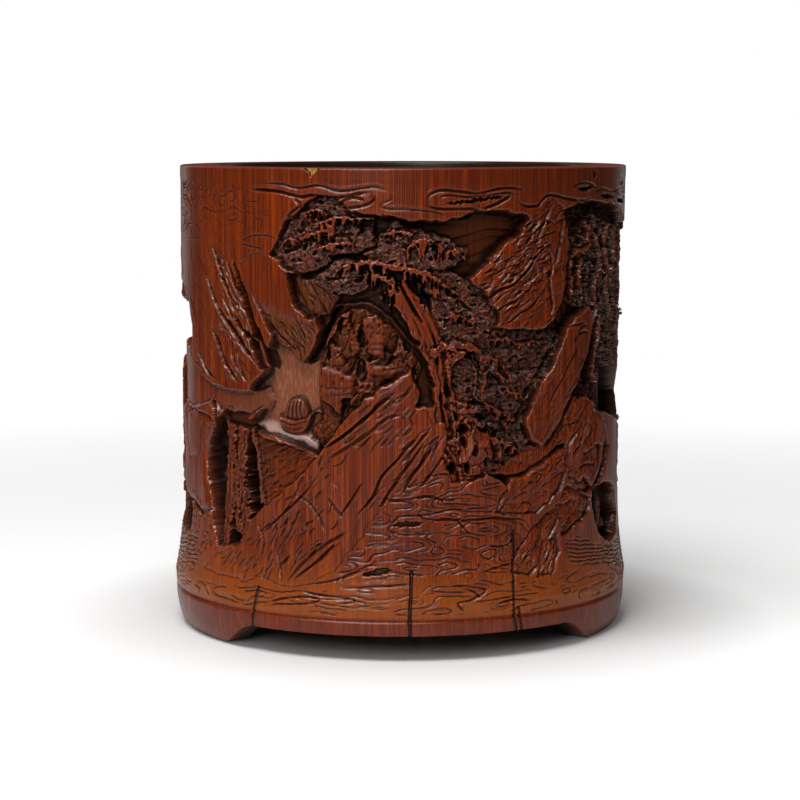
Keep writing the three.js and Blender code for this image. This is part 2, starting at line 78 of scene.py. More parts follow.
# Seeded cells: distance to the nearest and second middle, the way to the nearest, and its own draw
def cellsAt(u, v, seed):
    table = np.random.default_rng(seed).random((3, 256, 256))
    iu, iv = np.floor(u).astype(int), np.floor(v).astype(int)
    first, second = np.full(u.shape, 9.0), np.full(u.shape, 9.0)
    du, dv, pick = np.zeros(u.shape), np.zeros(u.shape), np.zeros(u.shape)
    for a in (-1, 0, 1):
        for b in (-1, 0, 1):
            mu, mv = (iu + a) % 256, (iv + b) % 256
            x = iu + a + 0.15 + 0.7 * table[0, mv, mu] - u
            y = iv + b + 0.15 + 0.7 * table[1, mv, mu] - v
            reach = np.hypot(x, y)
            closer = reach < first
            second = np.where(closer, first, np.minimum(second, reach))
            du, dv = np.where(closer, -x, du), np.where(closer, -y, dv)
            pick = np.where(closer, table[2, mv, mu], pick)
            first = np.minimum(first, reach)
    return first, second, du, dv, pick


# Noise over the whole sheet that closes round the pot
def roundNoise(size, seed, tall=1.0):
    around = round(2 * math.pi * sheet["radius"] / size)
    u = np.arange(sheet["columns"]) / sheet["columns"] * around
    v = np.arange(sheet["rows"]) * zStep / (size * tall)
    return noiseAt(*np.meshgrid(u, v), seed, around)


# How far a hand-cut outline wanders, in millimetres
warpS = 0.75 * roundNoise(4.6, 1) + 0.3 * roundNoise(1.6, 2)
warpZ = 0.75 * roundNoise(4.6, 3) + 0.3 * roundNoise(1.6, 4)

# What the carving holds at each place: how deep, and which finish shows there
depth = 0.12 + 0.1 * roundNoise(17, 5, 2.0)
leafy, bare, limbs, stones, tips, tufts, gleam = [np.zeros(depth.shape) for _ in range(7)]
wallPatch = namedtuple("wallPatch", "index s z inner")   # its cells, their place, how far inside the outline


# The cells of the sheet round some points, and their places
def window(points, pad):
    low, high = np.min(points, axis=0) - pad, np.max(points, axis=0) + pad
    cols = np.arange(math.floor(low[0] / sStep), math.ceil(high[0] / sStep) + 1)
    first = max(0, math.floor((low[1] - sheet["foot"]) / zStep))
    last = min(sheet["rows"] - 1, math.ceil((high[1] - sheet["foot"]) / zStep))
    rows = np.arange(first, max(last, first) + 1)
    s, z = np.meshgrid(cols * sStep, sheet["foot"] + rows * zStep)
    return np.ix_(rows, cols % sheet["columns"]), s, z


# A curve through all the points
def smoothPath(points, steps=5, closed=False):
    p = np.asarray(points, float)
    if closed:
        p = np.vstack([p[-1:], p, p[:2]])
    else:
        p = np.vstack([2 * p[:1] - p[1:2], p, 2 * p[-1:] - p[-2:-1]])
    t = np.linspace(0, 1, steps, endpoint=False)[:, None]
    out = [0.5 * (2 * b + (c - a) * t + (2 * a - 5 * b + 4 * c - d) * t ** 2
                  + (3 * b - a - 3 * c + d) * t ** 3) for a, b, c, d in zip(p, p[1:], p[2:], p[3:])]
    return np.vstack(out) if closed else np.vstack(out + [p[-2:-1]])


# Distance to an outline, negative outside it
def insideOf(outline, s, z):
    best, inside = np.full(s.shape, 1e9), np.zeros(s.shape, bool)
    path = np.asarray(outline, float)
    for (s0, z0), (s1, z1) in zip(path, np.roll(path, -1, axis=0)):
        ds, dz = s1 - s0, z1 - z0
        t = np.clip(((s - s0) * ds + (z - z0) * dz) / (ds * ds + dz * dz + 1e-9), 0, 1)
        best = np.minimum(best, (s - s0 - t * ds) ** 2 + (z - z0 - t * dz) ** 2)
        if z0 != z1:
            inside ^= ((z0 > z) != (z1 > z)) & (s < s0 + (z - z0) * ds / dz)
    return np.where(inside, 1, -1) * np.sqrt(best)


# Distance to a path, how far along it that is as a share, and on which side
def alongPath(path, s, z):
    best, share, side = np.full(s.shape, 1e9), np.zeros(s.shape), np.zeros(s.shape)
    lengths = np.hypot(*(path[1:] - path[:-1]).T)
    total, done = lengths.sum(), 0.0
    for (s0, z0), (s1, z1), length in zip(path, path[1:], lengths):
        ds, dz = s1 - s0, z1 - z0
        t = np.clip(((s - s0) * ds + (z - z0) * dz) / (length ** 2 + 1e-9), 0, 1)
        away = np.hypot(s - s0 - t * ds, z - z0 - t * dz)
        closer = away < best
        share = np.where(closer, (done + t * length) / total, share)
        side = np.where(closer, np.sign(ds * (z - z0) - dz * (s - s0)), side)
        best = np.where(closer, away, best)
        done += length
    return best, share, side


# Lets a surface in at a level, with a steep wall round it and a worn bevel along its edge
def form(outline, level, wall=0.7, bevel=(1.3, 0.45), tilt=(0, 0), warp=1.0, smooth=0, leaf=0, blank=0):
    if smooth:
        outline = smoothPath(outline, smooth, closed=True)
    index, s, z = window(outline, 2.5)
    inner = insideOf(outline, s + warp * warpS[index], z + warp * warpZ[index])
    share = ramp(inner, -wall / 2, wall / 2)
    middle = np.mean(outline, axis=0)
    target = level + tilt[0] * (s - middle[0]) + tilt[1] * (z - middle[1])
    target = target + bevel[1] * np.clip(1 - inner / bevel[0], 0, 1) ** 1.6
    depth[index] += (target - depth[index]) * share
    leafy[index] += (leaf - leafy[index]) * share
    bare[index] += (blank - bare[index]) * share
    for field in (limbs, tufts, stones, gleam, tips):
        field[index] *= 1 - share
    return wallPatch(index, s, z, inner)


# An area to cut into without changing its level
def areaOf(outline):
    index, s, z = window(outline, 1)
    return wallPatch(index, s, z, insideOf(outline, s + warpS[index], z + warpZ[index]))


# Raises a finish to at least a share
def mark(field, index, share):
    field[index] = np.maximum(field[index], share)


# One along a path, down to nothing at both its ends
def endsOf(share, taper):
    return ramp(share, 0, taper) * ramp(1 - share, 0, taper)


# A thin cut, with a raised lip on one side if asked
def groove(points, width=0.6, cut=0.4, taper=0.25, steps=5, lip=0.0):
    path = smoothPath(points, steps)
    index, s, z = window(path, 2 * width + 0.4)
    away, share, side = alongPath(path, s, z)
    cutAway = cut * np.clip(1 - away / width, 0, 1)
    if lip:
        cutAway = cutAway - lip * np.exp(-((away - width) / (0.6 * width)) ** 2) * (side > 0)
    depth[index] += cutAway * endsOf(share, taper)


# A steep slot that narrows to its ends, with a sharp raised edge along one side
def crevice(points, width, cut, edge=0.45, side=-1, taper=0.3):
    path = smoothPath(points, 6)
    index, s, z = window(path, width + 2.5)
    away, share, there = alongPath(path, s, z)
    ends = endsOf(share, taper)
    half = width * (0.3 + 0.7 * ends) * (1 + 0.35 * noiseAt(s / 2.2, z / 2.2, 77))
    depth[index] += cut * ramp(half - away, -0.12, 0.3) * endsOf(share, 0.1)
    ridge = np.exp(-((away - half - 0.5) / 0.42) ** 2) * (there * side > 0)
    depth[index] -= edge * ridge * ends


# A low raised line
def crest(points, width, height):
    path = smoothPath(points)
    index, s, z = window(path, 2.5 * width)
    away, share, _ = alongPath(path, s, z)
    depth[index] -= height * endsOf(share, 0.3) * np.exp(-(away / width) ** 2)


# A knotty round branch with its shadow cut along it, and short spurs
def limb(points, thick, thin, top, under=0.9, steps=5, spurs=0):
    path = smoothPath(points, steps)
    index, s, z = window(path, thick * 1.5 + 3)
    away, share, _ = alongPath(path, s + 0.9 * warpS[index], z + 0.9 * warpZ[index])
    knots = noiseAt(s / 1.7, z / 1.7, 70) + 0.5 * noiseAt(s / 0.8, z / 0.8, 73)
    radius = (thick + (thin - thick) * share) * (1 + 0.65 * knots)
    depth[index] += under * np.exp(-np.clip(away - radius, 0, None) / 0.7) * (away > radius)
    ripple = 0.16 * noiseAt(s * 1.5, z * 0.45, 71) + 0.14 * noiseAt(s * 0.5, z * 0.5, 72)
    rounded = top + radius * 0.35 * np.clip(away / radius, 0, 1) ** 6 + 1.3 * ripple + 0.3 * knots
    inside = ramp(radius - away, -0.12, 0.22)
    depth[index] += (np.minimum(depth[index], rounded) - depth[index]) * inside
    leafy[index] *= 1 - inside
    mark(limbs, index, inside)
    rng = np.random.default_rng(int(abs(points[0][0]) * 97 + points[-1][1] * 31))
    for _ in range(spurs):
        x, y = path[rng.integers(1, len(path) - 1)]
        a, reach = rng.uniform(0, 2 * math.pi), rng.uniform(1.0, 2.4)
        limb([(x, y), (x + 0.6 * reach * math.cos(a), y + 0.6 * reach * math.sin(a)),
              (x + reach * math.cos(a + 0.6), y + reach * math.sin(a + 0.6))], 0.45, 0.3, top, 0.4, 3)


# A ragged oval cut down to a depth
def hole(s0, z0, wide, tall, turn, deep):
    index, s, z = window([(s0, z0)], max(wide, tall) / 2 + 1)
    a = math.radians(turn)
    x = s - s0 + 0.5 * warpS[index] + 0.5 * noiseAt(s / 1.2, z / 1.2, 75)
    y = z - z0 + 0.5 * warpZ[index] + 0.5 * noiseAt(s / 1.2, z / 1.2, 76)
    u = (x * math.cos(a) + y * math.sin(a)) / (wide / 2)
    v = (y * math.cos(a) - x * math.sin(a)) / (tall / 2)
    share = ramp(1.15 - np.hypot(u, v), 0, 0.4)
    depth[index] += (np.maximum(depth[index], deep) - depth[index]) * share
    limbs[index] *= 1 - share
    tufts[index] *= 1 - share


# A twisted bough with stubs hanging from it and dark gaps between the stubs
def drips(points, drop, seed, level, bar):
    path = smoothPath(points, 6)
    index, s, z = window(path, drop + 1.5)
    away, share, _ = alongPath(path, s, z)
    below = np.interp(s, path[:, 0], path[:, 1]) - z + 0.6 * noiseAt(s / 1.4, z / 1.4, seed + 1)
    reach = drop * np.clip(0.6 + 0.9 * noiseAt(s / 2.4, 0 * z, seed + 2), 0.15, 1)
    comb = noiseAt(s / 1.15 + 0.3 * noiseAt(s / 2, z / 2, seed + 3), z / 7, seed)
    inRange = (s > path[0, 0] - 0.3) & (s < path[-1, 0] + 0.3)
    tooth = ramp(comb, -0.05, 0.1) * ramp(reach - below, -0.3, 0.4) * (below > 0)
    solid = np.maximum(ramp(bar - np.abs(below), -0.15, 0.2), tooth) * inRange
    gap = (1 - solid) * ramp(below, 0.1, 0.4) * ramp(0.85 * reach - below, -0.3, 0.3) * inRange
    depth[index] += (np.maximum(depth[index], 5.2) - depth[index]) * gap
    top = level + 0.3 * noiseAt(s / 0.8, z / 2.6, seed + 4)
    depth[index] += (top - depth[index]) * solid
    limbs[index] = np.maximum(limbs[index] * (1 - gap), solid)
    leafy[index] *= 1 - solid
    tufts[index] *= 1 - np.maximum(solid, gap)


# Stepped layers of rock that run at an angle
def strata(area, angle, spacing, height, seed, inset=0.5, wave=0.6, steep=0.85):
    index, s, z, inner = area
    a = math.radians(angle)
    along, across = s * math.cos(a) + z * math.sin(a), z * math.cos(a) - s * math.sin(a)
    phase = across / spacing + wave * noiseAt(along / (5 * spacing), across / (2.5 * spacing), seed)
    layer, place = np.floor(phase), phase - np.floor(phase)
    step = np.where(place < steep, place / steep, (1 - place) / (1 - steep))
    size = 0.35 + 0.65 * np.random.default_rng(seed).random(512)[layer.astype(int) % 512]
    fade = 0.55 + 0.45 * noiseAt(along / (3 * spacing), layer * 3.7, seed + 1)
    depth[index] += height * size * np.clip(fade, 0, 1) * step * ramp(inner, 0, inset)


# Flat-cut faces of rock, each with its own lean
def facets(area, angle, size, long, height, seed, inset=0.6):
    index, s, z, inner = area
    a = math.radians(angle)
    u = (s * math.cos(a) + z * math.sin(a)) / (size * long)
    v = (z * math.cos(a) - s * math.sin(a)) / size
    u, v = u + 0.25 * noiseAt(u * 1.7, v * 1.7, seed + 3), v + 0.25 * noiseAt(u * 1.7, v * 1.7, seed + 4)
    first, second, du, dv, pick = cellsAt(u, v, seed)
    lean = 6.28 * pick
    plane = du * np.cos(lean) * 0.7 + dv * np.sin(lean) * 1.3
    seam = 1 - ramp(second - first, 0, 0.16)
    depth[index] += height * (plane + 0.5 * (pick - 0.5) + 0.35 * seam) * ramp(inner, 0, inset)


# Tufts that overlap like low shells, each cut with fine rings or rays
def needles(area, size, lift, seed, tall=0.7):
    index, s, z, inner = area
    turn = 0.7 * noiseAt(s / 3.3, z / 2.6, seed + 5)
    first, second, du, dv, pick = cellsAt(s / size + turn, z / (size * tall) + turn, seed)
    fan = np.arctan2(dv + 0.3, du)
    wander = noiseAt(s * 0.7, z * 0.7, seed + 8)
    rays = np.abs(np.sin(9 * fan + 6.28 * pick + 2.0 * wander))
    rings = np.abs(np.sin(3.14 * (first * size / 0.8 + wander)))
    swirl = ramp(noiseAt(s / 6, z / 6, seed + 9), -0.1, 0.1)
    stroke = 1 - ramp(rays + (rings - rays) * swirl, 0.0, 0.75)
    shell = lift * (0.9 * (pick - 0.5) + 0.55 * (dv * 1.2)
                    + 0.5 * (1 - ramp(second - first, 0, 0.14)) * (pick > 0.35))
    clump = 1.3 * noiseAt(s / 5.5, z / 3.6, seed + 30) + 0.5 * noiseAt(s / 2.2, z / 1.8, seed + 31)
    pits = 1.6 * ramp(noiseAt(s / 2.6, z / 1.5, seed + 32), 0.42, 0.6)
    cut = 0.1 + 0.7 * shell + 0.4 * clump + pits + 0.4 * stroke
    depth[index] += cut * ramp(inner, 0, 0.7)
    mark(tufts, index, ramp(inner, 0.3, 0.8) * (1 - ramp(pits, 0.1, 0.6)))
    rubbed = ramp(noiseAt(s / 1.9, z / 1.6, seed + 33) - 0.25 * clump, 0.18, 0.4)
    mark(tips, index, rubbed * (inner > 0.4))


# Small round leaves with gaps between them, some of them cut through as pits
def leaves(area, size, pit, seed, openShare=0.3):
    index, s, z, inner = area
    u = s / size + 0.4 * noiseAt(s / 2.3, z / 2.3, seed + 5)
    v = z / size + 0.4 * noiseAt(s / 2.3, z / 2.3, seed + 6)
    first, second, _, _, pick = cellsAt(u, v, seed)
    gap = 1 - ramp(second - first, 0.05, 0.4)
    pits = ramp(pick, 1 - openShare, 1 - 0.6 * openShare) * (1 - ramp(first, 0.3, 0.55))
    cut = 0.35 * pit * gap + 0.3 * (pick - 0.5) + pit * pits + 0.3 * first ** 2
    depth[index] += cut * ramp(inner, 0, 0.6)


# Branching stems over dark ground
def coral(area, size, pit, seed, tall=1.3):
    index, s, z, inner = area
    u, v = s / size + 0.5 * warpS[index], z / (size * tall) + 0.5 * warpZ[index]
    wide = np.abs(noiseAt(u, v, seed))
    fine = np.abs(noiseAt(u * 1.9 + 7, v * 1.7, seed + 1))
    stems = np.maximum(1 - wide / 0.17, 0.8 * (1 - fine / 0.15))
    stems = ramp(stems, 0, 0.9)
    share = ramp(inner, 0, 0.7)
    depth[index] += pit * (1 - stems) * share
    mark(limbs, index, ramp(stems, 0.4, 0.9) * share)


# Many short bent cuts, scattered over an area
def nicks(area, count, angle, spread, length, width, cut, seed, inset=1.0, lip=0.0):
    index, s, z, inner = area
    rng = np.random.default_rng(seed)
    spots = np.argwhere(inner > inset)
    for row, col in spots[rng.integers(0, len(spots), count)]:
        a = math.radians(angle + spread * rng.normal())
        half = 0.5 * length * rng.uniform(0.5, 1.3)
        bend = 0.22 * half * rng.normal()
        x, y = s[row, col], z[row, col]
        ends = [(x + k * half * math.cos(a) - (k * k - 0.4) * bend * math.sin(a),
                 y + k * half * math.sin(a) + (k * k - 0.4) * bend * math.cos(a)) for k in (-1, 0, 1)]
        groove(ends, width * rng.uniform(0.7, 1.2), cut * rng.uniform(0.5, 1.2), 0.35, 3, lip)


# Even ripples of water
def waves(area, spacing, cut, seed, rise):
    index, s, z, inner = area
    phase = (z - rise * s) / spacing + 0.55 * noiseAt(s / 9, z / 7, seed)
    phase += 0.2 * noiseAt(s / 3, z / 5, seed + 1)
    place = np.abs(phase - np.floor(phase) - 0.5) * 2
    depth[index] += cut * ramp(place, 0.55, 1.0) * ramp(inner, 0, 1.5)


# Nested drifting lines, as level lines of a long low noise; each is a thin cut with a thin companion
def contours(area, wide, tall, spacing, cut, seed, double=0.3, inset=1.0, width=0.34):
    index, s, z, inner = area
    field = noiseAt(s / wide, z / tall, seed) + 0.3 * noiseAt(s / (0.4 * wide), z / (0.8 * tall), seed + 1)
    phase = field / spacing
    slope = np.hypot(*np.gradient(phase, zStep, sStep)) + 0.06
    keep = ramp(inner, 0, inset) * ramp(slope, 0.1, 0.25) * ramp(1.9 - slope, 0, 0.5)
    for shift, share in ((0.0, 1.0), (double, 0.6)):
        place = phase + shift
        away = np.abs(place - np.round(place)) / slope
        gate = ramp(noiseAt(s / 9 + 40 * shift, z / 4, seed + 2), -0.35, -0.1)
        depth[index] += cut * share * gate * np.clip(1 - away / width, 0, 1) * keep


# The same cut for every row, with the same last settings
def each(cutter, rows, *rest):
    for row in rows:
        cutter(*row, *rest)


# Deep ground of the front: sky, thickets, water, caves
print("carving the deep ground")
sky = form([(-36, 130), (-34, 137), (-26, 141), (-18, 138.5), (-11, 139.4), (-7, 139.2), (-3, 138.4),
            (6, 137.6), (13, 137.2), (17, 138.4), (23, 140.3), (31, 140.6), (41, 139.2), (44, 134), (36, 124),
            (28, 116), (26, 106), (0, 98), (-22, 104), (-34, 114)], 6.2, 1.3, (2.2, -1.0), blank=0.3)
strata(sky, 4, 3.4, 1.2, 11, 1.0, 0.9)
thicket = form([(55, 139), (62, 142), (72, 143), (92, 141), (104, 136), (118, 135), (118, 84), (100, 70),
                (84, 74), (72, 76), (64, 60), (46, 54), (36, 54), (24, 62), (20, 96), (26, 110), (48, 108),
                (53, 118)], 4.9, 1.0, (2, -0.8))
coral(thicket, 4.4, 0.9, 12)
notch = form([(86, 88), (94, 91), (121, 92), (128, 76), (122, 69), (100, 70), (88, 74)], 7.6, 1.2,
             (2.5, -1.5))
strata(notch, 82, 3.4, 1.8, 14, 0.8)
nicks(notch, 60, 84, 12, 5, 0.6, 0.9, 15, 0.4)
water = form([(-47, 90), (-45, 98), (-40, 104), (-32, 104), (-26, 110), (-20, 112), (-10, 112), (0, 104),
              (7, 96), (12, 92), (12, 82), (4, 80), (-6, 80), (-20, 68), (-24, 60), (-33, 66), (-42, 69.5),
              (-55, 71.5), (-49, 77.5), (-53, 84)], 5.3, 1.1, (2.0, -1.0), (0, 0.02), 0.7, 3, blank=1)
bare[water.index] *= ramp(-26.5 - water.s, 0, 3)
cave = form([(-72, 73), (-77, 66), (-79, 58), (-75, 46), (-69, 32), (-60, 33), (-49, 44), (-47.5, 60),
             (-53, 72), (-62, 74.5)], 7.7, 1.6, (2.5, -2.0))
strata(cave, 86, 2.6, 1.3, 13, 1.0)
leftNotch = form([(-136, 112), (-104, 113), (-95, 108), (-91, 100), (-94, 94), (-106, 89), (-136, 91)], 5.2,
                 8.0, (2, -0.6))
strata(leftNotch, -50, 3.4, 1.0, 16, 2.0)

# Left cliff: blades of rock that run down to the right, split by crevices
print("carving the cliffs")
cliff = areaOf([(-86, 124), (-76, 131), (-68, 135.5), (-63, 131), (-58.5, 126), (-56, 119), (-54, 110),
                (-51, 101), (-48.5, 92), (-51, 88), (-56, 83.4), (-68, 83.5), (-78, 88), (-84, 96),
                (-88, 108)])
strata(cliff, -56, 4.6, 0.8, 21, 4.0, 0.5, 0.8)
strata(cliff, -58, 1.9, 0.4, 22, 3.0, 0.8, 0.75)
nicks(areaOf([(-72, 124), (-64, 128), (-55, 112), (-50, 96), (-54, 86), (-64, 86), (-72, 96), (-68, 110)]),
      80, -56, 6, 8, 0.5, 0.8, 24, 0.8, 0.2)
nicks(areaOf([(-104, 124), (-84, 126), (-80, 100), (-92, 94), (-104, 108)]), 16, -58, 8, 9, 0.6, 0.22, 25)
each(crevice, [
    ([(-77.5, 120), (-73, 114.6), (-68.6, 109), (-63, 104), (-58.5, 100), (-55, 96.4), (-52, 94),
      (-50, 91.4)], 0.75, 4.2),
    ([(-74, 102.6), (-71, 100.6), (-68.6, 97.4), (-65.6, 92.6), (-62, 88.6), (-58, 85.4)], 0.65, 3.6),
    ([(-61, 107.6), (-57, 103.4), (-53.6, 100.6), (-51.4, 97), (-49, 93.6)], 0.7, 3.4),
    ([(-68.6, 120.4), (-65, 117), (-61.6, 112.4), (-58.6, 109.8)], 0.5, 2.6),
    ([(-72, 129), (-69.6, 125.6), (-67.4, 121.6), (-64.4, 117.4)], 0.45, 1.8),
    ([(-64, 125.4), (-61.6, 121), (-59.4, 116.6), (-56.6, 112)], 0.5, 2.4),
    ([(-84.6, 94.6), (-80.6, 92), (-77, 88.4), (-71.6, 85.4)], 0.5, 1.6),
    ([(-79.6, 91), (-75, 88), (-70.4, 85.8)], 0.4, 1.2),
    ([(-86.6, 90.6), (-82.6, 89.4), (-79, 87)], 0.4, 1.0), ([(-57.6, 90.4), (-56, 88), (-54, 86)], 0.4, 1.2),
    ([(-66.6, 112.6), (-62.6, 108.6), (-60, 105)], 0.35, 1.2),
    ([(-90, 112), (-86, 106), (-82.6, 100)], 0.35, 0.5)])
form([(-60.4, 124), (-57.6, 120.6), (-53.6, 113), (-50, 104.6), (-46, 98), (-43.4, 92.6), (-44.6, 90.4),
      (-48, 91.4), (-49.6, 95), (-51.6, 101), (-54.4, 108), (-57.4, 115)], 5.6, 0.5, (0.8, -0.4), warp=0.7)
form([(-52, 100.6), (-50.4, 99), (-48.4, 95), (-46.4, 91), (-48.6, 90.6), (-50.6, 94)], 3.0, 0.5, (0.8, 0.6),
     warp=0.6)
for path in [
        [(-67.6, 105.4), (-65.6, 102), (-63.4, 99.6)],
        [(-63.4, 101.2), (-60, 98), (-58, 94.6), (-55.6, 92.4)],
        [(-67.6, 95.4), (-66, 91), (-64.4, 87), (-61.6, 84.6)], [(-65, 121.5), (-61, 116), (-57.4, 111.4)],
        [(-72, 112.5), (-69, 109), (-65.6, 105)], [(-63.4, 126.6), (-60, 121.4), (-57.6, 117)],
        [(-70, 124), (-68, 120), (-65.4, 116.4)]]:
    crest(path, 0.5, 0.65)
for path in [[(-70.6, 126.6), (-68.6, 124.4), (-69, 121.6), (-71, 122.6), (-71.4, 125)],
             [(-67.6, 127.4), (-65.6, 125.4), (-65.8, 122.6), (-67.8, 123.4), (-68.4, 126)],
             [(-65, 120.6), (-63, 118.4), (-63, 115.6), (-65.2, 116.6), (-66, 119)]]:
    groove(path, 0.45, 0.8, 0.05, 4, 0.3)
groove([(-100, 130), (-88, 130.4), (-76, 131)], 0.5, 0.25, 0.3, 4)
groove([(-57, 130), (-51, 129.2), (-46, 128.5)], 0.6, 0.5, 0.2)

hanging = form([(-58, 124), (-50, 127.6), (-46, 128), (-43, 122), (-41, 119), (-38.5, 114.5), (-34, 110.6),
                (-28, 108.6), (-26.6, 103), (-30, 97), (-33, 93.8), (-37, 95.8), (-42, 99), (-45.6, 104),
                (-48.5, 109), (-51, 113), (-55, 119)], 0.25, 0.8, (1.0, 0.2), (-0.01, 0.0))
# Its foot leans back under the rock and is darker
leanBack = ramp(110.6 - hanging.z - 0.35 * (hanging.s + 36) + 1.5 * warpZ[hanging.index], 0, 15)
leanBack *= ramp(hanging.inner, -0.3, 0.5)
depth[hanging.index] += 2.6 * leanBack
mark(stones, hanging.index, ramp(leanBack, 0.02, 0.35))
nicks(hanging, 8, -60, 12, 6, 0.5, 0.2, 32)
for path in [[(-49, 128.2), (-45.6, 127.4), (-43, 124.4)], [(-44, 123), (-41, 118), (-38.5, 114.5)]]:
    crest(path, 0.8, 0.5)
grainy = areaOf([(-47.6, 109), (-42, 106), (-36, 105.6), (-31, 107.6), (-27, 108), (-27, 102), (-33, 93.6),
                 (-42, 98.6)])
strata(grainy, -52, 1.9, 0.55, 33, 1.4)
nicks(grainy, 50, -55, 16, 4, 0.45, 0.5, 34, 0.6, 0.15)
each(crevice, [
    ([(-46.4, 107), (-43.6, 103), (-39.6, 99.6), (-35.6, 96.6)], 0.4, 1.2),
    ([(-36, 109), (-33, 104), (-31.6, 99)], 0.35, 0.9), ([(-41, 105.6), (-37.6, 101), (-34, 98)], 0.3, 0.7)],
    0.3, 1)
rib = form([(-38, 121), (-36, 112), (-31, 108), (-24, 108.5), (-21, 114), (-24, 120), (-30, 119)], 3.2, 0.7,
           (1.4, 0.9))
strata(rib, -62, 2.2, 1.1, 35, 0.6)
mark(stones, rib.index, ramp(rib.inner, 0, 0.6))
nicks(rib, 30, -65, 15, 4, 0.5, 0.5, 36, 0.6)
crevice([(-33, 92.6), (-29.4, 95.6), (-26, 100.6), (-24, 106), (-20, 112)], 1.3, 3.0, 0.2, -1, 0.15)

broken = form([(-22, 108), (-16, 111), (-12, 110.5), (-7, 108), (-3, 105), (3, 98), (7, 92), (4, 86),
               (-4, 82), (-14, 74), (-21, 76), (-27, 78), (-28, 88), (-27, 95), (-25, 102)], 3.6, 0.8,
              (1.6, 0.8))
facets(broken, 55, 5.5, 1.4, 2.2, 41)
facets(broken, 50, 2.2, 1.5, 0.6, 42)
mark(stones, broken.index, 0.8 * ramp(broken.inner, 0, 0.6) * ramp(warpS[broken.index] + 0.4, 0, 0.5))
nicks(broken, 80, 60, 25, 4, 0.6, 0.7, 43, 0.6)
for outline, level in [
        ([(-28, 88), (-26.5, 92.5), (-20, 91), (-16, 89.5), (-15.5, 82.5), (-20, 82), (-20, 77), (-27, 79.5)],
         2.2), ([(-24, 99.5), (-20, 98.5), (-19, 93), (-23, 92.6)], 2.6),
        ([(-13, 107.5), (-8.5, 109), (-4, 104), (-6, 95), (-11, 96.5)], 2.3),
        ([(-18, 104), (-14, 106), (-13, 98), (-17, 95)], 3.2),
        ([(-12, 94), (-5, 93), (0, 97), (2, 91), (-5, 88.5), (-11, 90)], 2.6),
        ([(-15, 88), (-8, 88), (-9, 83.5), (-14, 82)], 2.9)]:
    block = form(outline, level, 0.6, (1.2, 0.8), (0.03, -0.02))
    strata(block, 4, 2.3, 0.7, 44, 0.4, 0.5)
    nicks(block, 12, 70, 30, 2.5, 0.5, 0.5, 45, 0.4)
each(hole, [
    (-13.5, 101, 2, 6, 5), (1.8, 99, 2, 4, 30), (-20.5, 105, 2, 5, -15), (-2, 112.5, 4, 3, 30),
    (-14.6, 92, 1.2, 6, 0), (-24.5, 96, 1.5, 4, 0)], 6.2)

# Peak behind, with strata that rise to the right
peak = form([(21, 120), (26, 123.5), (30, 128), (35, 131), (38.5, 133.6), (41, 137.5), (46, 139.5),
             (49, 143.5), (52, 144.3), (55.5, 142), (58, 137), (59.8, 130), (58.5, 121), (57, 113), (54, 106),
             (48, 102.8), (36, 102.5), (26, 106)], 0.3, 0.7, (1.2, 0.5))
strata(peak, 33, 4.6, 0.9, 51, 0.8, 0.9, 0.85)
strata(peak, 29, 1.7, 0.32, 54, 0.8, 1.0, 0.75)
nicks(peak, 90, 31, 8, 6.5, 0.5, 0.6, 57, 0.8, 0.25)
patch = areaOf([(37, 127), (40, 134), (46, 135), (51, 134), (54, 124), (47, 116), (38, 117)])
nicks(patch, 100, 35, 40, 2.6, 0.55, 0.5, 52)
nicks(areaOf([(24, 118), (30, 126), (40, 130), (42, 116), (30, 107), (26, 109)]), 60, 30, 10, 6, 0.55, 0.55,
      53)
for path in [[(52, 144), (49, 139), (46, 133), (44.5, 127)], [(46, 139), (43, 134), (40, 129)],
             [(56, 139), (55, 131), (53, 124), (49, 118)]]:
    groove(path, 0.9, 0.7, 0.25, 5, 0.3)
each(crevice, [
    ([(24, 110), (31, 115.6), (37, 118), (42, 122.4), (46, 127), (49.4, 129.4)], 0.45, 1.1),
    ([(49.4, 129.4), (51.6, 124), (50.6, 118), (52, 111), (51, 106)], 0.45, 1.1),
    ([(27, 106.6), (33, 111), (38, 113), (43, 116.6), (47, 121)], 0.35, 0.8),
    ([(34, 105), (39, 108.6), (44, 111), (48, 115)], 0.35, 0.8),
    ([(40, 129), (44, 133.6), (49, 137), (53, 136)], 0.4, 0.8)], 0.35, 1, 0.25)
for path in [[(39, 133.6), (41, 137.2), (46, 139.2), (49, 143.2)], [(42, 101.8), (45, 103.5), (48, 106)]]:
    crest(path, 0.6, 0.4)

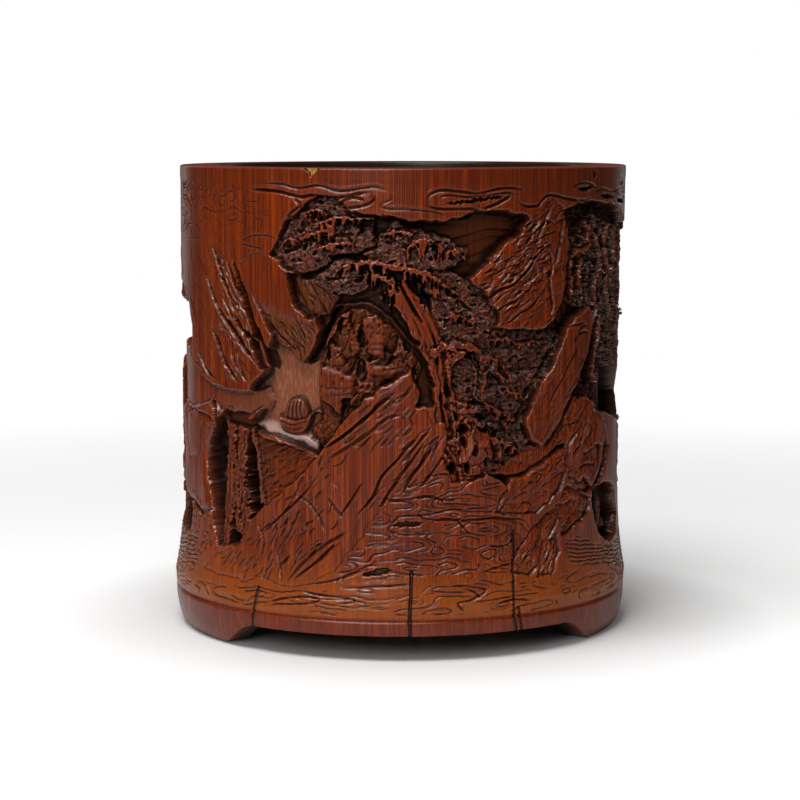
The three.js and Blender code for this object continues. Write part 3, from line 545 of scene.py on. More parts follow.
# Pine: trunk, branches, and pads of needles
print("carving the pine")
leafMass = form([(24, 104.6), (38, 102.8), (50, 103), (58, 101), (50, 86), (44.6, 78), (42.6, 70), (47, 64),
                 (32, 58), (28, 60), (25, 66), (22, 76), (24, 90)], 2.6, 0.9, (1.4, 0.8), warp=1.5, smooth=3,
                leaf=1)
needles(leafMass, 3.0, 0.8, 61, 0.8)
leaves(leafMass, 5.2, 1.0, 62, 0.3)
mark(limbs, leafMass.index, 0.5 * ramp(leafMass.inner, 0, 1))
pads = [([(-45, 127), (-41.5, 131.5), (-40, 134), (-37, 139), (-33, 141), (-30, 144.5), (-24, 145),
          (-19, 143), (-16, 140), (-11, 139), (-9, 134), (-9, 130), (-16, 127.5), (-22, 127), (-24, 124),
          (-28, 122.5), (-33, 120.8), (-37, 121.5), (-41, 124)], 1.9, 81),
        ([(-13, 126.5), (-9, 129.5), (-7, 134), (-4, 136.5), (-1, 137), (4, 135.2), (8, 135), (13, 133),
          (17, 131), (22, 128.5), (19.5, 125.5), (16, 123.5), (10, 120), (5, 120.5), (-5, 123.5)], 1.9, 82),
        ([(-30, 118.5), (-28, 121), (-24, 123.5), (-20, 125.5), (-14, 125), (-11, 121.5), (-10, 118.5),
          (-13, 116.3), (-18, 115), (-24, 114.8)], 1.8, 83),
        ([(7, 121), (12, 123), (18, 121.5), (22, 118.5), (26, 116), (29, 112), (31, 108), (29, 101), (23, 98),
          (15, 99), (10, 106), (9, 111)], 2.0, 84)]
for outline, level, seed in pads:
    pad = form(outline, level, 0.8, (2.0, 1.0), (0, 0.02), warp=1.6, smooth=3, leaf=1)
    needles(pad, 4.4, 0.9, seed)
each(hole, [
    (-26, 131, 14, 1.6, -14), (-36, 129, 10, 1.4, 20), (-20, 133.4, 9, 1.5, 6), (-33, 136, 1.8, 4, 10),
    (3, 129.4, 9, 1.3, -20), (16, 126, 7, 1.2, -30), (-21, 120, 10, 1.2, 8), (20, 112, 9, 1.2, -35),
    (15, 117, 8, 1.1, -10)], 3.4)
each(hole, [
    (-31, 138, 1.8, 3), (-30.2, 131, 1.6, 2.4), (-24, 132, 4.4, 1.5), (-18.5, 136, 1.6, 2.6),
    (-13, 135, 2.2, 3.8), (-23, 138.5, 2.6, 1.2), (7, 129.5, 2.8, 3.0), (11.3, 128.8, 1.2, 3.4),
    (-9.8, 119.5, 2.4, 5)], -12, 5.6)
each(drips, [
    ([(-33, 139.6), (-28, 141), (-24, 139.4)], 4.5, 401),
    ([(-27, 137), (-21, 138.8), (-16, 138.4), (-9.4, 138.8)], 6, 402),
    ([(-33.5, 132), (-28, 134), (-23, 135)], 4.5, 403), ([(-29, 128.5), (-23, 130.4), (-16, 131)], 2.6, 404),
    ([(1.5, 129.4), (4, 131.4), (9, 131.8), (13, 129)], 6, 405),
    ([(14, 128), (17, 128.6), (20, 126)], 3, 406), ([(-21, 122), (-17, 124.6), (-13, 124.6)], 5, 407),
    ([(-6, 133.4), (-2, 134.6), (3, 133.6)], 2.5, 408), ([(9, 117), (13, 118), (18, 115)], 4, 409),
    ([(14, 108), (18, 108.6), (23, 105.6)], 3.6, 410), ([(-40, 130.6), (-37, 132), (-34.4, 131)], 2.6, 411)],
    0.9, 0.55)
trunk = form([(-6.4, 121.6), (-1, 121.6), (2, 119.4), (5, 114.6), (8.4, 110.6), (10.6, 106), (13.4, 100),
              (14, 93), (14.6, 86), (15, 78), (17, 71), (21.5, 64), (22, 57.4), (16, 57), (14.6, 64),
              (11.6, 72), (10.6, 80), (9.6, 88), (8, 94), (5.4, 99.6), (2, 105), (-1.4, 109.6), (-4, 113.2),
              (-6.6, 116)], 0.9, 0.8, (1.1, 0.8), warp=1.3)
mark(limbs, trunk.index, ramp(trunk.inner, 0, 0.5))
strata(trunk, 118, 2.7, 1.3, 58, 0.4, 0.7, 0.8)
nicks(trunk, 50, 116, 12, 5, 0.5, 0.5, 55, 0.5, 0.1)
nicks(areaOf([(9, 96), (14, 96), (15, 80), (20, 60), (17, 58), (11, 76)]), 30, 95, 10, 6, 0.5, 0.5, 56, 0.4,
      0.1)
drips([(-14, 124.8), (-9, 125), (-4, 123.8), (2, 122.8), (8, 121.4), (12, 119)], 7, 421, 0.8, 0.9)
drips([(-9.6, 121), (-7, 120.6), (-4.6, 119.4), (-2.8, 117.6)], 10.5, 424, 0.8, 0.9)
each(hole, [(3.4, 117.4, 1.6, 5.4, 32), (-1.6, 117, 0.8, 3.4, 20), (6.6, 112.4, 0.9, 3, 30)], 5.4)
each(crevice, [
    ([(4, 121), (6, 117), (9, 113)], 1.1, 4.6), ([(-1.6, 120), (1, 115), (4, 110), (7, 105.6)], 0.45, 2.4),
    ([(9.4, 104), (11, 98), (11.6, 90)], 0.4, 1.8), ([(12.4, 88), (13, 80), (14.6, 72)], 0.4, 1.8)], 0.3, 1)
for path, thick, thin in [
        ([(10.5, 96.5), (14, 98.4), (20, 99.2), (25, 97), (27, 93), (26.5, 85), (27, 81)], 1.6, 1.3),
        ([(14.8, 96), (15, 88), (16.4, 80), (17.6, 73), (19, 66)], 1.2, 1.3),
        ([(26, 95), (28.5, 93), (31, 90.6), (33.4, 88)], 1.3, 0.6),
        ([(23, 80), (24, 74), (27, 69), (30, 66)], 1.1, 1.4),
        ([(16, 80), (21, 78), (27, 80), (31, 76)], 1.0, 0.7), ([(19, 73), (23, 76), (29, 72)], 0.8, 0.9),
        ([(16, 69), (21, 70), (25, 66), (24, 60)], 1.0, 1.2), ([(28, 80), (33, 77), (36, 72)], 0.9, 0.5),
        ([(12, 66), (16, 63), (20, 58)], 1.0, 0.8), ([(30, 74), (34, 69), (33, 63)], 0.8, 0.6)]:
    limb(path, 0.85 * thick, 0.85 * thin, 0.8, 1.2, 5, 5)
opening = form([(16.4, 92), (20, 95.5), (24, 93.4), (24.8, 88), (24, 82.5), (20, 81), (16.8, 84)], 2.9, 0.6,
               (1.0, -0.6), warp=0.7, smooth=3, leaf=1)
needles(opening, 2.6, 1.2, 63, 0.8)
each(hole, [
    (28.5, 89, 2, 2.6), (20, 72.6, 3, 3.4), (24, 70, 3, 3), (28, 72.4, 2.6, 3), (20, 66, 3, 3.4),
    (16.6, 61, 2.4, 4), (12.8, 69.6, 1.4, 4), (27, 76, 2.6, 2), (32, 71, 2.4, 3), (17.4, 77, 1.6, 3),
    (22, 62.6, 2, 4), (14.6, 86, 1.2, 6), (30, 66, 3, 2)], 8, 5.4)
each(drips, [
    ([(24, 82.6), (28, 80.6), (33, 78), (38, 74.6)], 3.6, 431),
    ([(26, 71.6), (31, 69.4), (36, 67.4), (41, 64.6)], 3.6, 432),
    ([(27, 93), (30, 94.6), (34, 92), (37, 88)], 3, 433),
    ([(30, 100.4), (35, 100.8), (40, 98.6), (45, 99.6)], 2, 434), ([(36, 84), (40, 83), (43, 80)], 2.4, 435)],
    1.3, 0.5)
rootRock = form([(19, 71), (24, 73), (29.5, 71), (30.5, 64), (27, 57.5), (22, 56.5), (18.5, 62)], 1.2, 0.6,
                (1.4, 0.9))
facets(rootRock, 60, 4.5, 1.6, 1.2, 64)
each(hole, [(20.4, 69), (24.4, 66), (21.6, 60.6), (28.6, 62)], 1.6, 3.2, 12, 4.5)

# Foliage down the right, stems over dark ground
foliage = form([(60, 128), (63, 132), (67, 135.5), (72, 137), (76, 138.5), (84, 136.5), (92, 135.4),
                (108, 134), (124, 132), (124, 89), (112, 87), (106, 86), (98, 88.5), (92, 87.6), (86, 91),
                (80, 92), (77, 96), (76, 101), (71, 108), (66, 109.5), (61, 112), (58, 120)], 1.5, 0.9,
               (1.2, 0.6), warp=1.6, leaf=1)
coral(foliage, 3.6, 2.3, 65, 1.2)
leaves(foliage, 2.4, 0.8, 66, 0.25)
for path in [
        [(62, 125), (65, 127.5), (70, 127.5), (73, 132), (76, 131), (80, 123), (82, 120)],
        [(61.5, 124), (62, 118), (62.5, 113)], [(66.5, 124), (66, 119), (66.5, 114)],
        [(80, 122), (76, 116), (77, 108), (74, 102)], [(84, 134), (83, 127), (87, 121), (86, 113), (90, 105)],
        [(92, 133), (94, 124), (90, 117), (95, 108)], [(80, 106), (79, 98), (76, 90), (78, 84)],
        [(100, 131), (99, 121), (103, 112), (100, 101), (104, 94)], [(69, 136), (72, 133), (70, 130)]]:
    limb(path, 0.8, 0.6, 0.9, 1.0, 5, 8)
each(hole, [
    (63, 120, 1.6, 8), (73, 124, 2.2, 4), (76.5, 124, 1.8, 4), (65, 133, 4, 2.5), (74, 137, 2.4, 2),
    (70, 119, 3, 5), (82, 128, 3, 4), (88, 126, 3, 5), (80, 112, 3, 5), (86, 102, 3, 5), (92, 113, 3, 6),
    (97, 127, 3, 5), (105, 120, 4, 7), (97, 100, 4, 5), (90, 96, 4, 4), (110, 108, 4, 7), (112, 126, 4, 6)],
    6, 5.0)

# Slab that leans at the right, boulders under it
ledge = form([(30, 57.5), (38, 57), (45, 59), (53, 63), (61, 66), (63, 72), (67, 80), (64, 82), (56, 74),
              (48, 66), (43, 66), (36, 61)], 1.9, 0.7, (1.2, 0.6), (-0.02, 0.02))
facets(ledge, 35, 7, 2, 0.6, 89)
nicks(ledge, 30, 40, 12, 4, 0.5, 0.4, 90, 0.6)
slab = form([(72, 109.5), (74, 106), (73.5, 100), (71.5, 94.5), (67, 87.5), (61, 79.5), (55.5, 72),
             (49, 65.5), (44, 68), (42, 75), (46, 82), (51, 89.5), (55, 95), (58, 101), (64, 106.5)], 0.3,
            0.7, (1.5, 0.5), (0.012, 0))
facets(slab, 50, 9, 3, 0.45, 91)
nicks(slab, 26, 50, 7, 7, 0.5, 0.3, 92)
for path in [
        [(58, 104), (63, 103.6), (69, 104.5)], [(64, 101), (67, 103), (70, 103.5)],
        [(62, 98), (66, 101), (71, 101)], [(50, 78), (55, 84), (61, 92), (66, 98)]]:
    groove(path, 0.7, 0.8, 0.2, 5, 0.2)
crest([(43.6, 76), (48, 83), (52, 89), (57, 97.5), (61, 102)], 0.8, 0.4)
crevice([(40, 72), (41.6, 79), (46, 86), (50, 91), (55, 98), (59, 104)], 0.8, 2.6, 0.4, -1, 0.15)
groove([(50, 64.6), (57, 71), (62.4, 78), (68, 85), (73, 93)], 0.9, 2.6, 0.15)
boulders = form([(61, 55), (66, 49.5), (72, 49), (78, 49.5), (86, 55.5), (89, 62), (86, 68), (80, 74.5),
                 (76, 78), (72, 80.5), (66, 79.5), (62, 72), (60, 63)], 0.5, 0.8, (2.4, 1.3))
facets(boulders, 58, 9, 1.5, 1.6, 93)
nicks(boulders, 40, 60, 16, 5, 0.6, 0.45, 94, 1.0, 0.15)
each(groove, [
    ([(58, 70), (61, 76), (64, 82), (68, 87)], 1.2, 2.6), ([(63, 62), (68, 66), (71, 73)], 0.9, 1.4),
    ([(74, 52), (77, 59), (76, 66), (79, 72)], 0.9, 1.5), ([(66, 57), (71, 58), (77, 57)], 0.8, 0.9)], 0.2, 5,
    0.3)
each(hole, [(70, 84, 2, 5, -20), (82, 80, 7, 2.4, 20), (89, 74, 4, 3, 0)], 5.5)
lowBoulder = form([(57, 49), (60, 52.5), (66, 50.5), (74, 46.5), (74, 42), (68, 39.5), (62, 37), (57, 36)],
                  0.8, 0.7, (2.2, 1.2))
facets(lowBoulder, 20, 6, 1.6, 0.9, 95)
nicks(lowBoulder, 34, 25, 40, 2.6, 0.5, 0.4, 96)
hollow = form([(75, 48.5), (84, 50.5), (92, 49), (98, 45), (101, 38), (97, 31.5), (90, 29.5), (82, 33),
               (77, 39)], 6.4, 0.9, (2.6, -1.6))
strata(hollow, 80, 3.6, 1.9, 97, 1.0)
for outline in [[(80, 45.5), (84, 47), (86, 36), (82, 34)], [(89, 46), (93, 45), (94, 34), (90, 32.6)]]:
    facets(form(outline, 3.4, 0.8, (1.6, 1.4)), 85, 4, 2, 1.2, 98)

# Rocks at the foot on the right
print("carving the near rocks")
for outline, seed, angle in [
        ([(31, 46), (33, 52), (37, 56.5), (44, 58.5), (52, 62.5), (61.5, 65), (60, 56), (57, 51), (47, 44.5),
          (40, 45)], 101, 35),
        ([(36, 27), (38, 33), (42, 37.5), (46, 41), (52, 45), (56.5, 47.5), (57, 42), (51, 35), (48, 28.5),
          (43.5, 25)], 102, 45),
        ([(46, 24.5), (48.5, 31), (51, 35), (55.5, 37.8), (56.5, 31), (53, 24.6)], 103, 60)]:
    rock = form(outline, 0.4, 0.7, (1.6, 0.9))
    strata(rock, angle, 4.0, 0.7, seed, 0.8)
    nicks(rock, 30, angle, 12, 5, 0.55, 0.5, seed, 0.8, 0.15)
    facets(rock, angle, 5, 2, 0.5, seed + 7)

# Cave at the left, its ribs, the bank over it and the shore
brow = form([(-106, 97), (-96, 93.5), (-90, 91), (-80, 86), (-72, 83.6), (-62, 82.6), (-54, 83), (-48, 84),
             (-46, 80.6), (-47.6, 77.6), (-50, 77.4), (-54, 75.6), (-60, 75.2), (-66, 75.4), (-70, 76.6),
             (-73, 79), (-88, 75), (-106, 76)], 1.4, 1.6, (1.2, 0.5), warp=0.5)
reach = ramp(brow.inner, -0.5, 1.0)
depth[brow.index] += 2.6 * ramp(brow.s, -58, -45) * reach
mark(bare, brow.index, 0.55 * reach * ramp(brow.s, -84, -50))
bulge = form([(-106, 76), (-90, 74.5), (-76, 74), (-73, 72), (-77, 66), (-79, 58), (-76, 50), (-74, 43),
              (-82, 40), (-92, 43), (-106, 45)], 0.3, 0.9, (3.0, 1.4))
facets(bulge, 70, 14, 2, 0.5, 112)
mottled = areaOf([(-106, 46), (-90, 48), (-72, 44), (-68, 34), (-76, 26), (-106, 28)])
nicks(mottled, 110, 10, 60, 2.2, 0.6, 0.35, 113)
each(limb, [
    ([(-65, 74), (-65, 65), (-66, 50), (-68, 34)], 2.6, 2.4),
    ([(-58.5, 73), (-59, 66), (-60, 55), (-57, 36)], 2.6, 2.8),
    ([(-54, 71), (-51, 60), (-49.5, 48)], 0.9, 1.1), ([(-62, 60), (-62.4, 48), (-61, 38)], 1.3, 1.4)], 2.3,
    0.6)
limbs[window([(-80, 30), (-47, 76)], 1)[0]] *= 0.3
form([(-67, 76), (-54, 76), (-53.6, 72.6), (-58, 71), (-62, 72), (-67, 71.6)], 4.2, 1.0, (1.0, 0.6),
     (0, -0.1), 0.7)
ribs = areaOf([(-76, 72), (-50, 73), (-48, 50), (-56, 36), (-70, 32), (-76, 46)])
strata(ribs, 84, 2.1, 0.9, 114, 1.0)
nicks(ribs, 60, 84, 8, 6, 0.55, 0.6, 115)
crevice([(-75, 79), (-72, 77), (-70.4, 73), (-70.8, 67)], 1.0, 3.2, 0.4, 1, 0.2)
crevice([(-55.4, 71), (-55.6, 64), (-54.4, 56), (-53.6, 50)], 1.2, 3.0, 0.7, 1, 0.2)
crevice([(-61.6, 68), (-61.4, 62), (-61.6, 57)], 0.4, 2.0, 0.2, 1, 0.2)
crevice([(-77, 63), (-76.4, 58), (-75, 53)], 1.1, 2.6, 0.3, 1, 0.2)
crest([(-75, 62), (-71, 64), (-68, 67)], 0.8, 0.9)
shore = form([(-53, 71), (-47, 68.6), (-40, 67.4), (-33, 65.6), (-25, 63.5), (-30, 58), (-38, 52), (-48, 45),
              (-50, 56)], 2.6, 0.9, (1.6, 0.8), (0, 0.02))
strata(shore, 30, 2.6, 0.8, 116, 0.8)
rise = areaOf([(-54, 72.4), (-48, 70), (-41, 68.8), (-34, 67), (-26, 64.6), (-24, 69), (-32, 72), (-42, 74.6),
               (-50, 76.4)])
onWater = ramp(rise.inner, -0.5, 2.0) * (bare[rise.index] > 0.3)
belowLine = 75.5 - rise.z - 0.12 * (rise.s + 50)
depth[rise.index] -= 2.4 * onWater * ramp(belowLine, 0, 5)
# gleam: a painted highlight, pale, along the shore of the water where it rises
mark(gleam, rise.index, onWater * ramp(belowLine, 0, 3))
nicks(shore, 60, 32, 12, 4, 0.5, 0.45, 117, 0.6)
strand = form([(-28, 82), (-24, 80.5), (-20, 77), (-20, 71), (-25, 66), (-30, 69.5), (-31, 73), (-27, 76)],
              3.4, 0.8, (1.6, 0.9))
leaves(strand, 2.4, 0.8, 118)

# A small boat with an awning on hoops, and its rope to the rock
awning = form([(-41, 75.4), (-40.6, 78.6), (-38.8, 81), (-36, 82), (-33.4, 81), (-32, 78.4), (-32.2, 75.6),
               (-36, 74.8)], 2.2, 0.5, (2.2, 1.3), warp=0.3, smooth=3)
for a, b in ((-39.4, -38.4), (-37.4, -36.9), (-35.4, -35.5), (-33.6, -34.1)):
    groove([(a, 75.2), (b - 0.2, 78.4), (b, 81)], 0.45, 0.6, 0.05)
mark(leafy, awning.index, 0.7 * ramp(awning.inner, 0, 0.5))
form([(-43.6, 76), (-42, 72.8), (-38.6, 70.8), (-34.4, 70.8), (-31.6, 73), (-30.4, 77.4), (-32.6, 75.6),
             (-37, 75), (-41, 75.4)], 2.4, 0.5, (0.9, 0.8), warp=0.3, smooth=3)
groove([(-42.4, 74.6), (-37.6, 73.4), (-31.6, 75)], 0.4, 0.5, 0.1)
groove([(-41, 72.8), (-37.2, 71.8), (-32.8, 73)], 0.4, 0.45, 0.1)
limb([(-31.6, 76.4), (-29.6, 77.8), (-27, 78)], 0.35, 0.3, 3.0, 0.3)

# Great slab across the front
greatSlab = form([(-76, 23.5), (-72, 27.5), (-66, 30.5), (-60, 32.5), (-56, 36), (-54, 40), (-50, 45),
                  (-44, 49), (-38, 54), (-32, 59), (-27, 65), (-22, 71), (-17, 77), (-12, 82), (-6, 86.5),
                  (0, 90), (3, 93), (4, 88), (6.3, 85), (5, 80.4), (8, 79), (10, 75.5), (14.3, 74.5),
                  (15, 70), (13, 65), (9, 59), (6.5, 55), (2, 52), (-4, 51), (-7, 47.5), (-12, 40),
                  (-16, 34.5), (-21, 28.5), (-30, 23.5), (-38, 22), (-47, 24), (-55, 22)], 0.25, 0.6,
                 (1.2, 0.35))
facets(greatSlab, 48, 13, 3, 0.12, 121, 1.5)
roughEdge = areaOf([(-70, 27), (-56, 36), (-44, 48), (-32, 59), (-22, 70), (-20, 62), (-24, 52), (-18, 44),
                    (-30, 30), (-42, 24), (-58, 24)])
nicks(roughEdge, 85, 52, 13, 6.5, 0.6, 0.55, 122, 0.8, 0.15)
nicks(areaOf([(-30, 60), (-12, 80), (3, 90), (5, 78), (12, 72), (4, 66), (-12, 68), (-24, 58)]), 40, 42, 8, 8,
      0.6, 0.5, 123, 0.8, 0.15)
nicks(areaOf([(-16, 44), (-4, 60), (8, 72), (14, 70), (6, 56), (-4, 52)]), 30, 55, 10, 7, 0.6, 0.5, 124, 0.6,
      0.1)
each(groove, [
    ([(-26, 66), (-20, 70), (-14, 75), (-5, 82.8), (-1, 80)], 0.8, 0.8),
    ([(-26, 62), (-18, 67), (-11, 71.5), (-5, 76.5), (0, 77.5), (2, 73.5)], 0.8, 0.8),
    ([(-16, 42), (-20, 39), (-25, 36), (-32, 30), (-38, 23)], 0.9, 1.0),
    ([(-19, 38), (-25, 32), (-30, 27)], 0.7, 0.7), ([(-33, 48), (-36, 42), (-40, 35)], 0.8, 0.8),
    ([(-28, 44), (-30, 43), (-32, 41)], 0.6, 0.6), ([(-24, 52), (-21, 48), (-18, 45)], 0.8, 0.7),
    ([(-42, 34), (-40, 29), (-39, 24)], 0.7, 0.7), ([(4, 88), (1, 84), (-2, 81)], 0.7, 0.7),
    ([(-50, 42), (-47, 36), (-48, 30)], 0.8, 0.7), ([(-44, 45), (-42, 40), (-45, 34)], 0.7, 0.6),
    ([(-36, 52), (-31, 50), (-27, 46), (-24, 40)], 0.7, 0.7), ([(5, 80), (3, 77), (4, 74)], 0.6, 0.6),
    ([(-1, 86), (-8, 80), (-14, 74)], 0.7, 0.6), ([(10, 74), (6, 72), (2, 67)], 0.6, 0.6)], 0.2, 5, 0.2)
each(crevice, [
    ([(4.5, 71), (-1, 64), (-6, 58.6), (-9, 52), (-15, 45)], 0.4, 1.2),
    ([(7.6, 70), (3, 63), (-3, 56)], 0.35, 0.9), ([(12, 71), (8, 65), (3, 58), (0, 52)], 0.4, 1.1),
    ([(14.4, 66), (10, 60), (6, 55)], 0.35, 0.9), ([(9.6, 74), (5, 68.6), (1, 63)], 0.35, 1.0),
    ([(1, 60), (-3, 54.6), (-7, 48)], 0.4, 1.1),
    ([(-26, 66), (-19, 70.6), (-13, 75.4), (-5, 82.4)], 0.45, 1.2),
    ([(-12, 57), (-16, 50.6), (-20, 45)], 0.35, 0.9),
    ([(-27, 58), (-33, 51), (-41, 44), (-50, 36)], 0.35, 0.8),
    ([(-20, 38), (-27, 31), (-35, 24.6)], 0.4, 1.1)], 0.35, 1, 0.3)
for path in [
        [(-25, 66.4), (-19, 70.8), (-13, 76), (-5, 83.6)], [(-24, 57), (-19, 53), (-21, 60)],
        [(-4, 84), (1, 89)], [(-40, 22.6), (-36, 26), (-33, 30)], [(4, 85), (6, 80)]]:
    crest(path, 0.6, 0.35)

# Clouds under the rim, incised in the plain surface
print("cutting clouds and mist")
for path, width, cut in [
        ([(-47, 149.3), (-40, 149), (-34, 147.8), (-27, 148.6), (-20, 147), (-12, 147.9), (-9, 148.3),
          (-4.3, 147)], 0.6, 0.55),
        ([(-53, 147.2), (-46, 147), (-40, 146.5), (-33, 145.1), (-29, 145.6), (-20, 145), (-12, 146.6),
          (-9.5, 146.5)], 0.7, 0.9),
        ([(-10, 146.4), (-9, 144.4), (-12, 142.6), (-18, 141.8), (-19.4, 143.4), (-16, 145), (-12.6, 144.4),
          (-13.6, 143.2)], 0.6, 0.8),
        ([(-36, 145), (-34, 143.6), (-33, 142.5), (-35, 141), (-37, 139.5), (-39, 136), (-40, 132.5)], 0.7,
         0.8), ([(-56, 131), (-52, 132.6), (-46, 133), (-42, 132)], 0.45, 0.3),
        ([(-4.3, 147), (-3.6, 144.6), (-7, 142.8), (-4, 141.6), (2, 141.4), (10, 140.6), (14, 139)], 0.5,
         0.4), ([(7.5, 144), (8.5, 146), (12, 147.3), (18, 146.8), (24, 146.2), (29, 147.3), (33, 147.8),
                 (38, 147.5), (40, 146.3)], 0.6, 0.7),
        ([(7.5, 143.5), (9, 142), (13, 141.5), (22, 141.5), (23.5, 140.5), (22, 138.8), (14, 138)], 0.6, 0.7),
        ([(10.6, 144.6), (14, 145.8), (20, 145.2), (27, 145.6), (34, 146.4), (37, 145.4)], 0.5, 0.6),
        ([(25.5, 141.5), (30, 143), (35, 145.5)], 0.7, 0.9),
        ([(26, 141.3), (29, 140), (34, 139.6), (40, 139.5)], 0.6, 0.6),
        ([(37, 144.5), (38.5, 143), (41, 142), (45, 142.2), (47, 144), (50, 145.4), (58, 144), (64, 143.4),
          (69, 143.5), (68, 145), (66, 145.8)], 0.6, 0.8),
        ([(60, 147.4), (64, 149), (70, 148.6), (74, 147)], 0.5, 0.5),
        ([(72, 145.6), (78, 146.8), (86, 145.6), (92, 146.4)], 0.5, 0.5),
        ([(56, 141.6), (64, 141), (74, 141.6), (84, 140.6), (96, 140.4)], 0.6, 0.6)]:
    groove(path, 1.15 * width, 1.35 * cut, 0.12, 5, 0.3)
each(hole, [
    (23, 144.1, 19, 1.0, 6, 2.0), (67.5, 147.2, 9, 1.2, 6, 2.0), (82, 144.2, 10, 1.5, -3, 2.2),
    (96, 142.6, 10, 1.3, -4, 2.0)])
contours(areaOf([(-108, 150), (-56, 149), (-45, 144), (-42, 136), (-54, 132), (-70, 136), (-84, 131),
                 (-108, 132)]), 11, 5, 0.6, 0.36, 321, 0.3, 1.5, 0.3)

# Mist and water at the foot: nested drifting lines, with a few longer streams among them
mist = areaOf([(-8, 51.5), (-2, 53.5), (3, 56.5), (10, 58.5), (22, 58.5), (34, 57), (32, 50), (31, 46),
               (40, 44.5), (45, 41), (38, 33), (36, 27), (24, 25.5), (10, 27), (-2, 26), (-14, 25), (-24, 24),
               (-17, 32), (-13, 38), (-8, 46)])
contours(mist, 17, 5.4, 0.4, 0.7, 305, 0.34, 1.0, 0.34)
foreshore = areaOf([(-46, 23), (-30, 22.6), (-10, 25), (36, 25.5), (48, 23), (70, 25), (84, 20), (84, 14.6),
                    (-84, 14.6), (-80, 19), (-60, 21)])
contours(foreshore, 22, 4.2, 0.58, 0.55, 311, 0.3, 0.6, 0.34)
for path in [
        [(-45, 16.5), (-38, 18.7), (-30, 19.8), (-25.5, 19), (-31, 17.5), (-44.5, 16.3)],
        [(-30, 23.3), (-30.5, 21.5), (-26, 20.8), (-15.5, 20), (-14.7, 19), (-22, 18)],
        [(-30, 23.5), (-20, 25.8), (-13, 29), (-10, 30.5), (-5.5, 30.5)], [(-20, 23), (-10, 23.8), (5, 25)],
        [(-5, 42), (-2, 44.6), (0, 46), (9, 46.5), (16, 48), (24, 47)], [(-5, 41.4), (2, 40.2), (9, 40.5)],
        [(28.5, 36), (33, 35.4), (36, 36), (37.5, 38)], [(27, 28), (33, 29.2), (37, 29.7)],
        [(17.5, 23.3), (22, 22.5), (25, 20), (21, 19), (18, 18.3), (21, 15.2)],
        [(17, 24), (25, 23), (27, 21.5), (21, 18.8)], [(18, 45), (20, 42.3), (22.5, 40)],
        [(8, 43.6), (14, 45), (22, 44.2), (30, 44.6), (40, 43)],
        [(-8, 52), (0, 51), (8, 52.4), (14, 51), (22, 52)], [(6, 58), (14, 59.2), (22, 58), (30, 58.6)],
        [(30, 17), (36, 18.4), (43, 17.6)]]:
    groove(path, 0.55, 0.75, 0.18, 5, 0.2)
hole(-7, 28.4, 9, 1.8, 8, 1.7)
hole(2, 43.4, 9, 1.6, 0, 1.5)
for path in [[(-24, 21.4), (-18, 22.4), (-12, 22)], [(6, 20.4), (12, 20.8)], [(24, 16.6), (32, 17.4)],
             [(-2, 47.4), (10, 48), (22, 47)], [(4, 41.8), (16, 42), (28, 40.6)]]:
    crest(path, 0.9, 0.25)
waves(areaOf([(58, 34), (66, 36), (78, 31), (92, 29), (118, 32), (118, 18), (96, 20), (76, 24), (62, 26)]),
      1.35, 0.8, 131, -0.12)
waves(areaOf([(-118, 40), (-100, 38), (-84, 30), (-78, 24), (-96, 20), (-118, 19)]), 1.4, 0.75, 132, 0.1)

# Sides and back: gorges, stacked cliffs, pines and mist carried on round the pot
print("carving the sides and back")
fall = form([(-106, 44), (-96, 44.5), (-89, 41), (-90, 35), (-98, 32), (-110, 33), (-122, 36), (-121, 43)],
            4.8, 0.9, (2, -1.2))
strata(fall, 82, 3.4, 1.2, 141, 1.0)
gorges = [
    ([(-132, 112), (-138, 132), (-158, 141), (-182, 138), (-186, 110), (-176, 84), (-182, 56), (-168, 34),
      (-142, 32), (-134, 60), (-127, 76)],
     [(-140, 118), (-150, 130), (-158, 120), (-160, 96), (-152, 78), (-156, 54), (-146, 40), (-138, 52),
      (-142, 76), (-136, 96)], 142),
    ([(196, 108), (206, 132), (232, 142), (262, 138), (272, 118), (264, 92), (270, 66), (256, 40), (226, 34),
      (204, 44), (198, 76)],
     [(208, 44), (214, 70), (208, 92), (218, 112), (232, 124), (240, 108), (236, 86), (246, 66), (240, 44),
      (224, 38)], 152),
    ([(140, 58), (132, 84), (140, 116), (152, 134), (172, 138), (184, 120), (178, 92), (186, 64), (174, 42),
      (154, 40)], [(158, 44), (164, 66), (156, 86), (160, 106), (170, 120), (177, 102), (171, 84), (179, 62),
                   (170, 46)], 162)]
sides = [
    ([(118, 93), (122, 134), (138, 136), (134, 112), (129, 92)], 172, 64),
    ([(100, 69), (122, 68), (131, 72), (137, 56), (124, 40), (104, 48)], 177, 64),
    ([(186, 128), (200, 134), (194, 104), (196, 78), (202, 46), (186, 40), (186, 66), (181, 92), (188, 118)],
     173, 72), ([(272, 116), (286, 140), (300, 132), (296, 104), (290, 84), (300, 56), (286, 34), (264, 38),
                 (270, 64), (266, 92)], 174, -60),
    ([(-130, 110), (-124, 130), (-110, 132), (-108, 110), (-120, 107)], 175, -50),
    ([(-126, 90), (-108, 90), (-106, 48), (-120, 46), (-132, 60), (-126, 76)], 176, 58)]
for outline, seed, angle in sides:
    flank = form(outline, 0.4, 0.8, (2.0, 1.0))
    strata(flank, angle, 7.0, 1.1, seed, 1.2)
    strata(flank, angle, 2.6, 0.4, seed + 20, 1.0)
    facets(flank, angle, 7, 2.2, 0.9, seed + 40)
    nicks(flank, 60, angle, 12, 6, 0.6, 0.5, seed + 60, 1.0, 0.15)
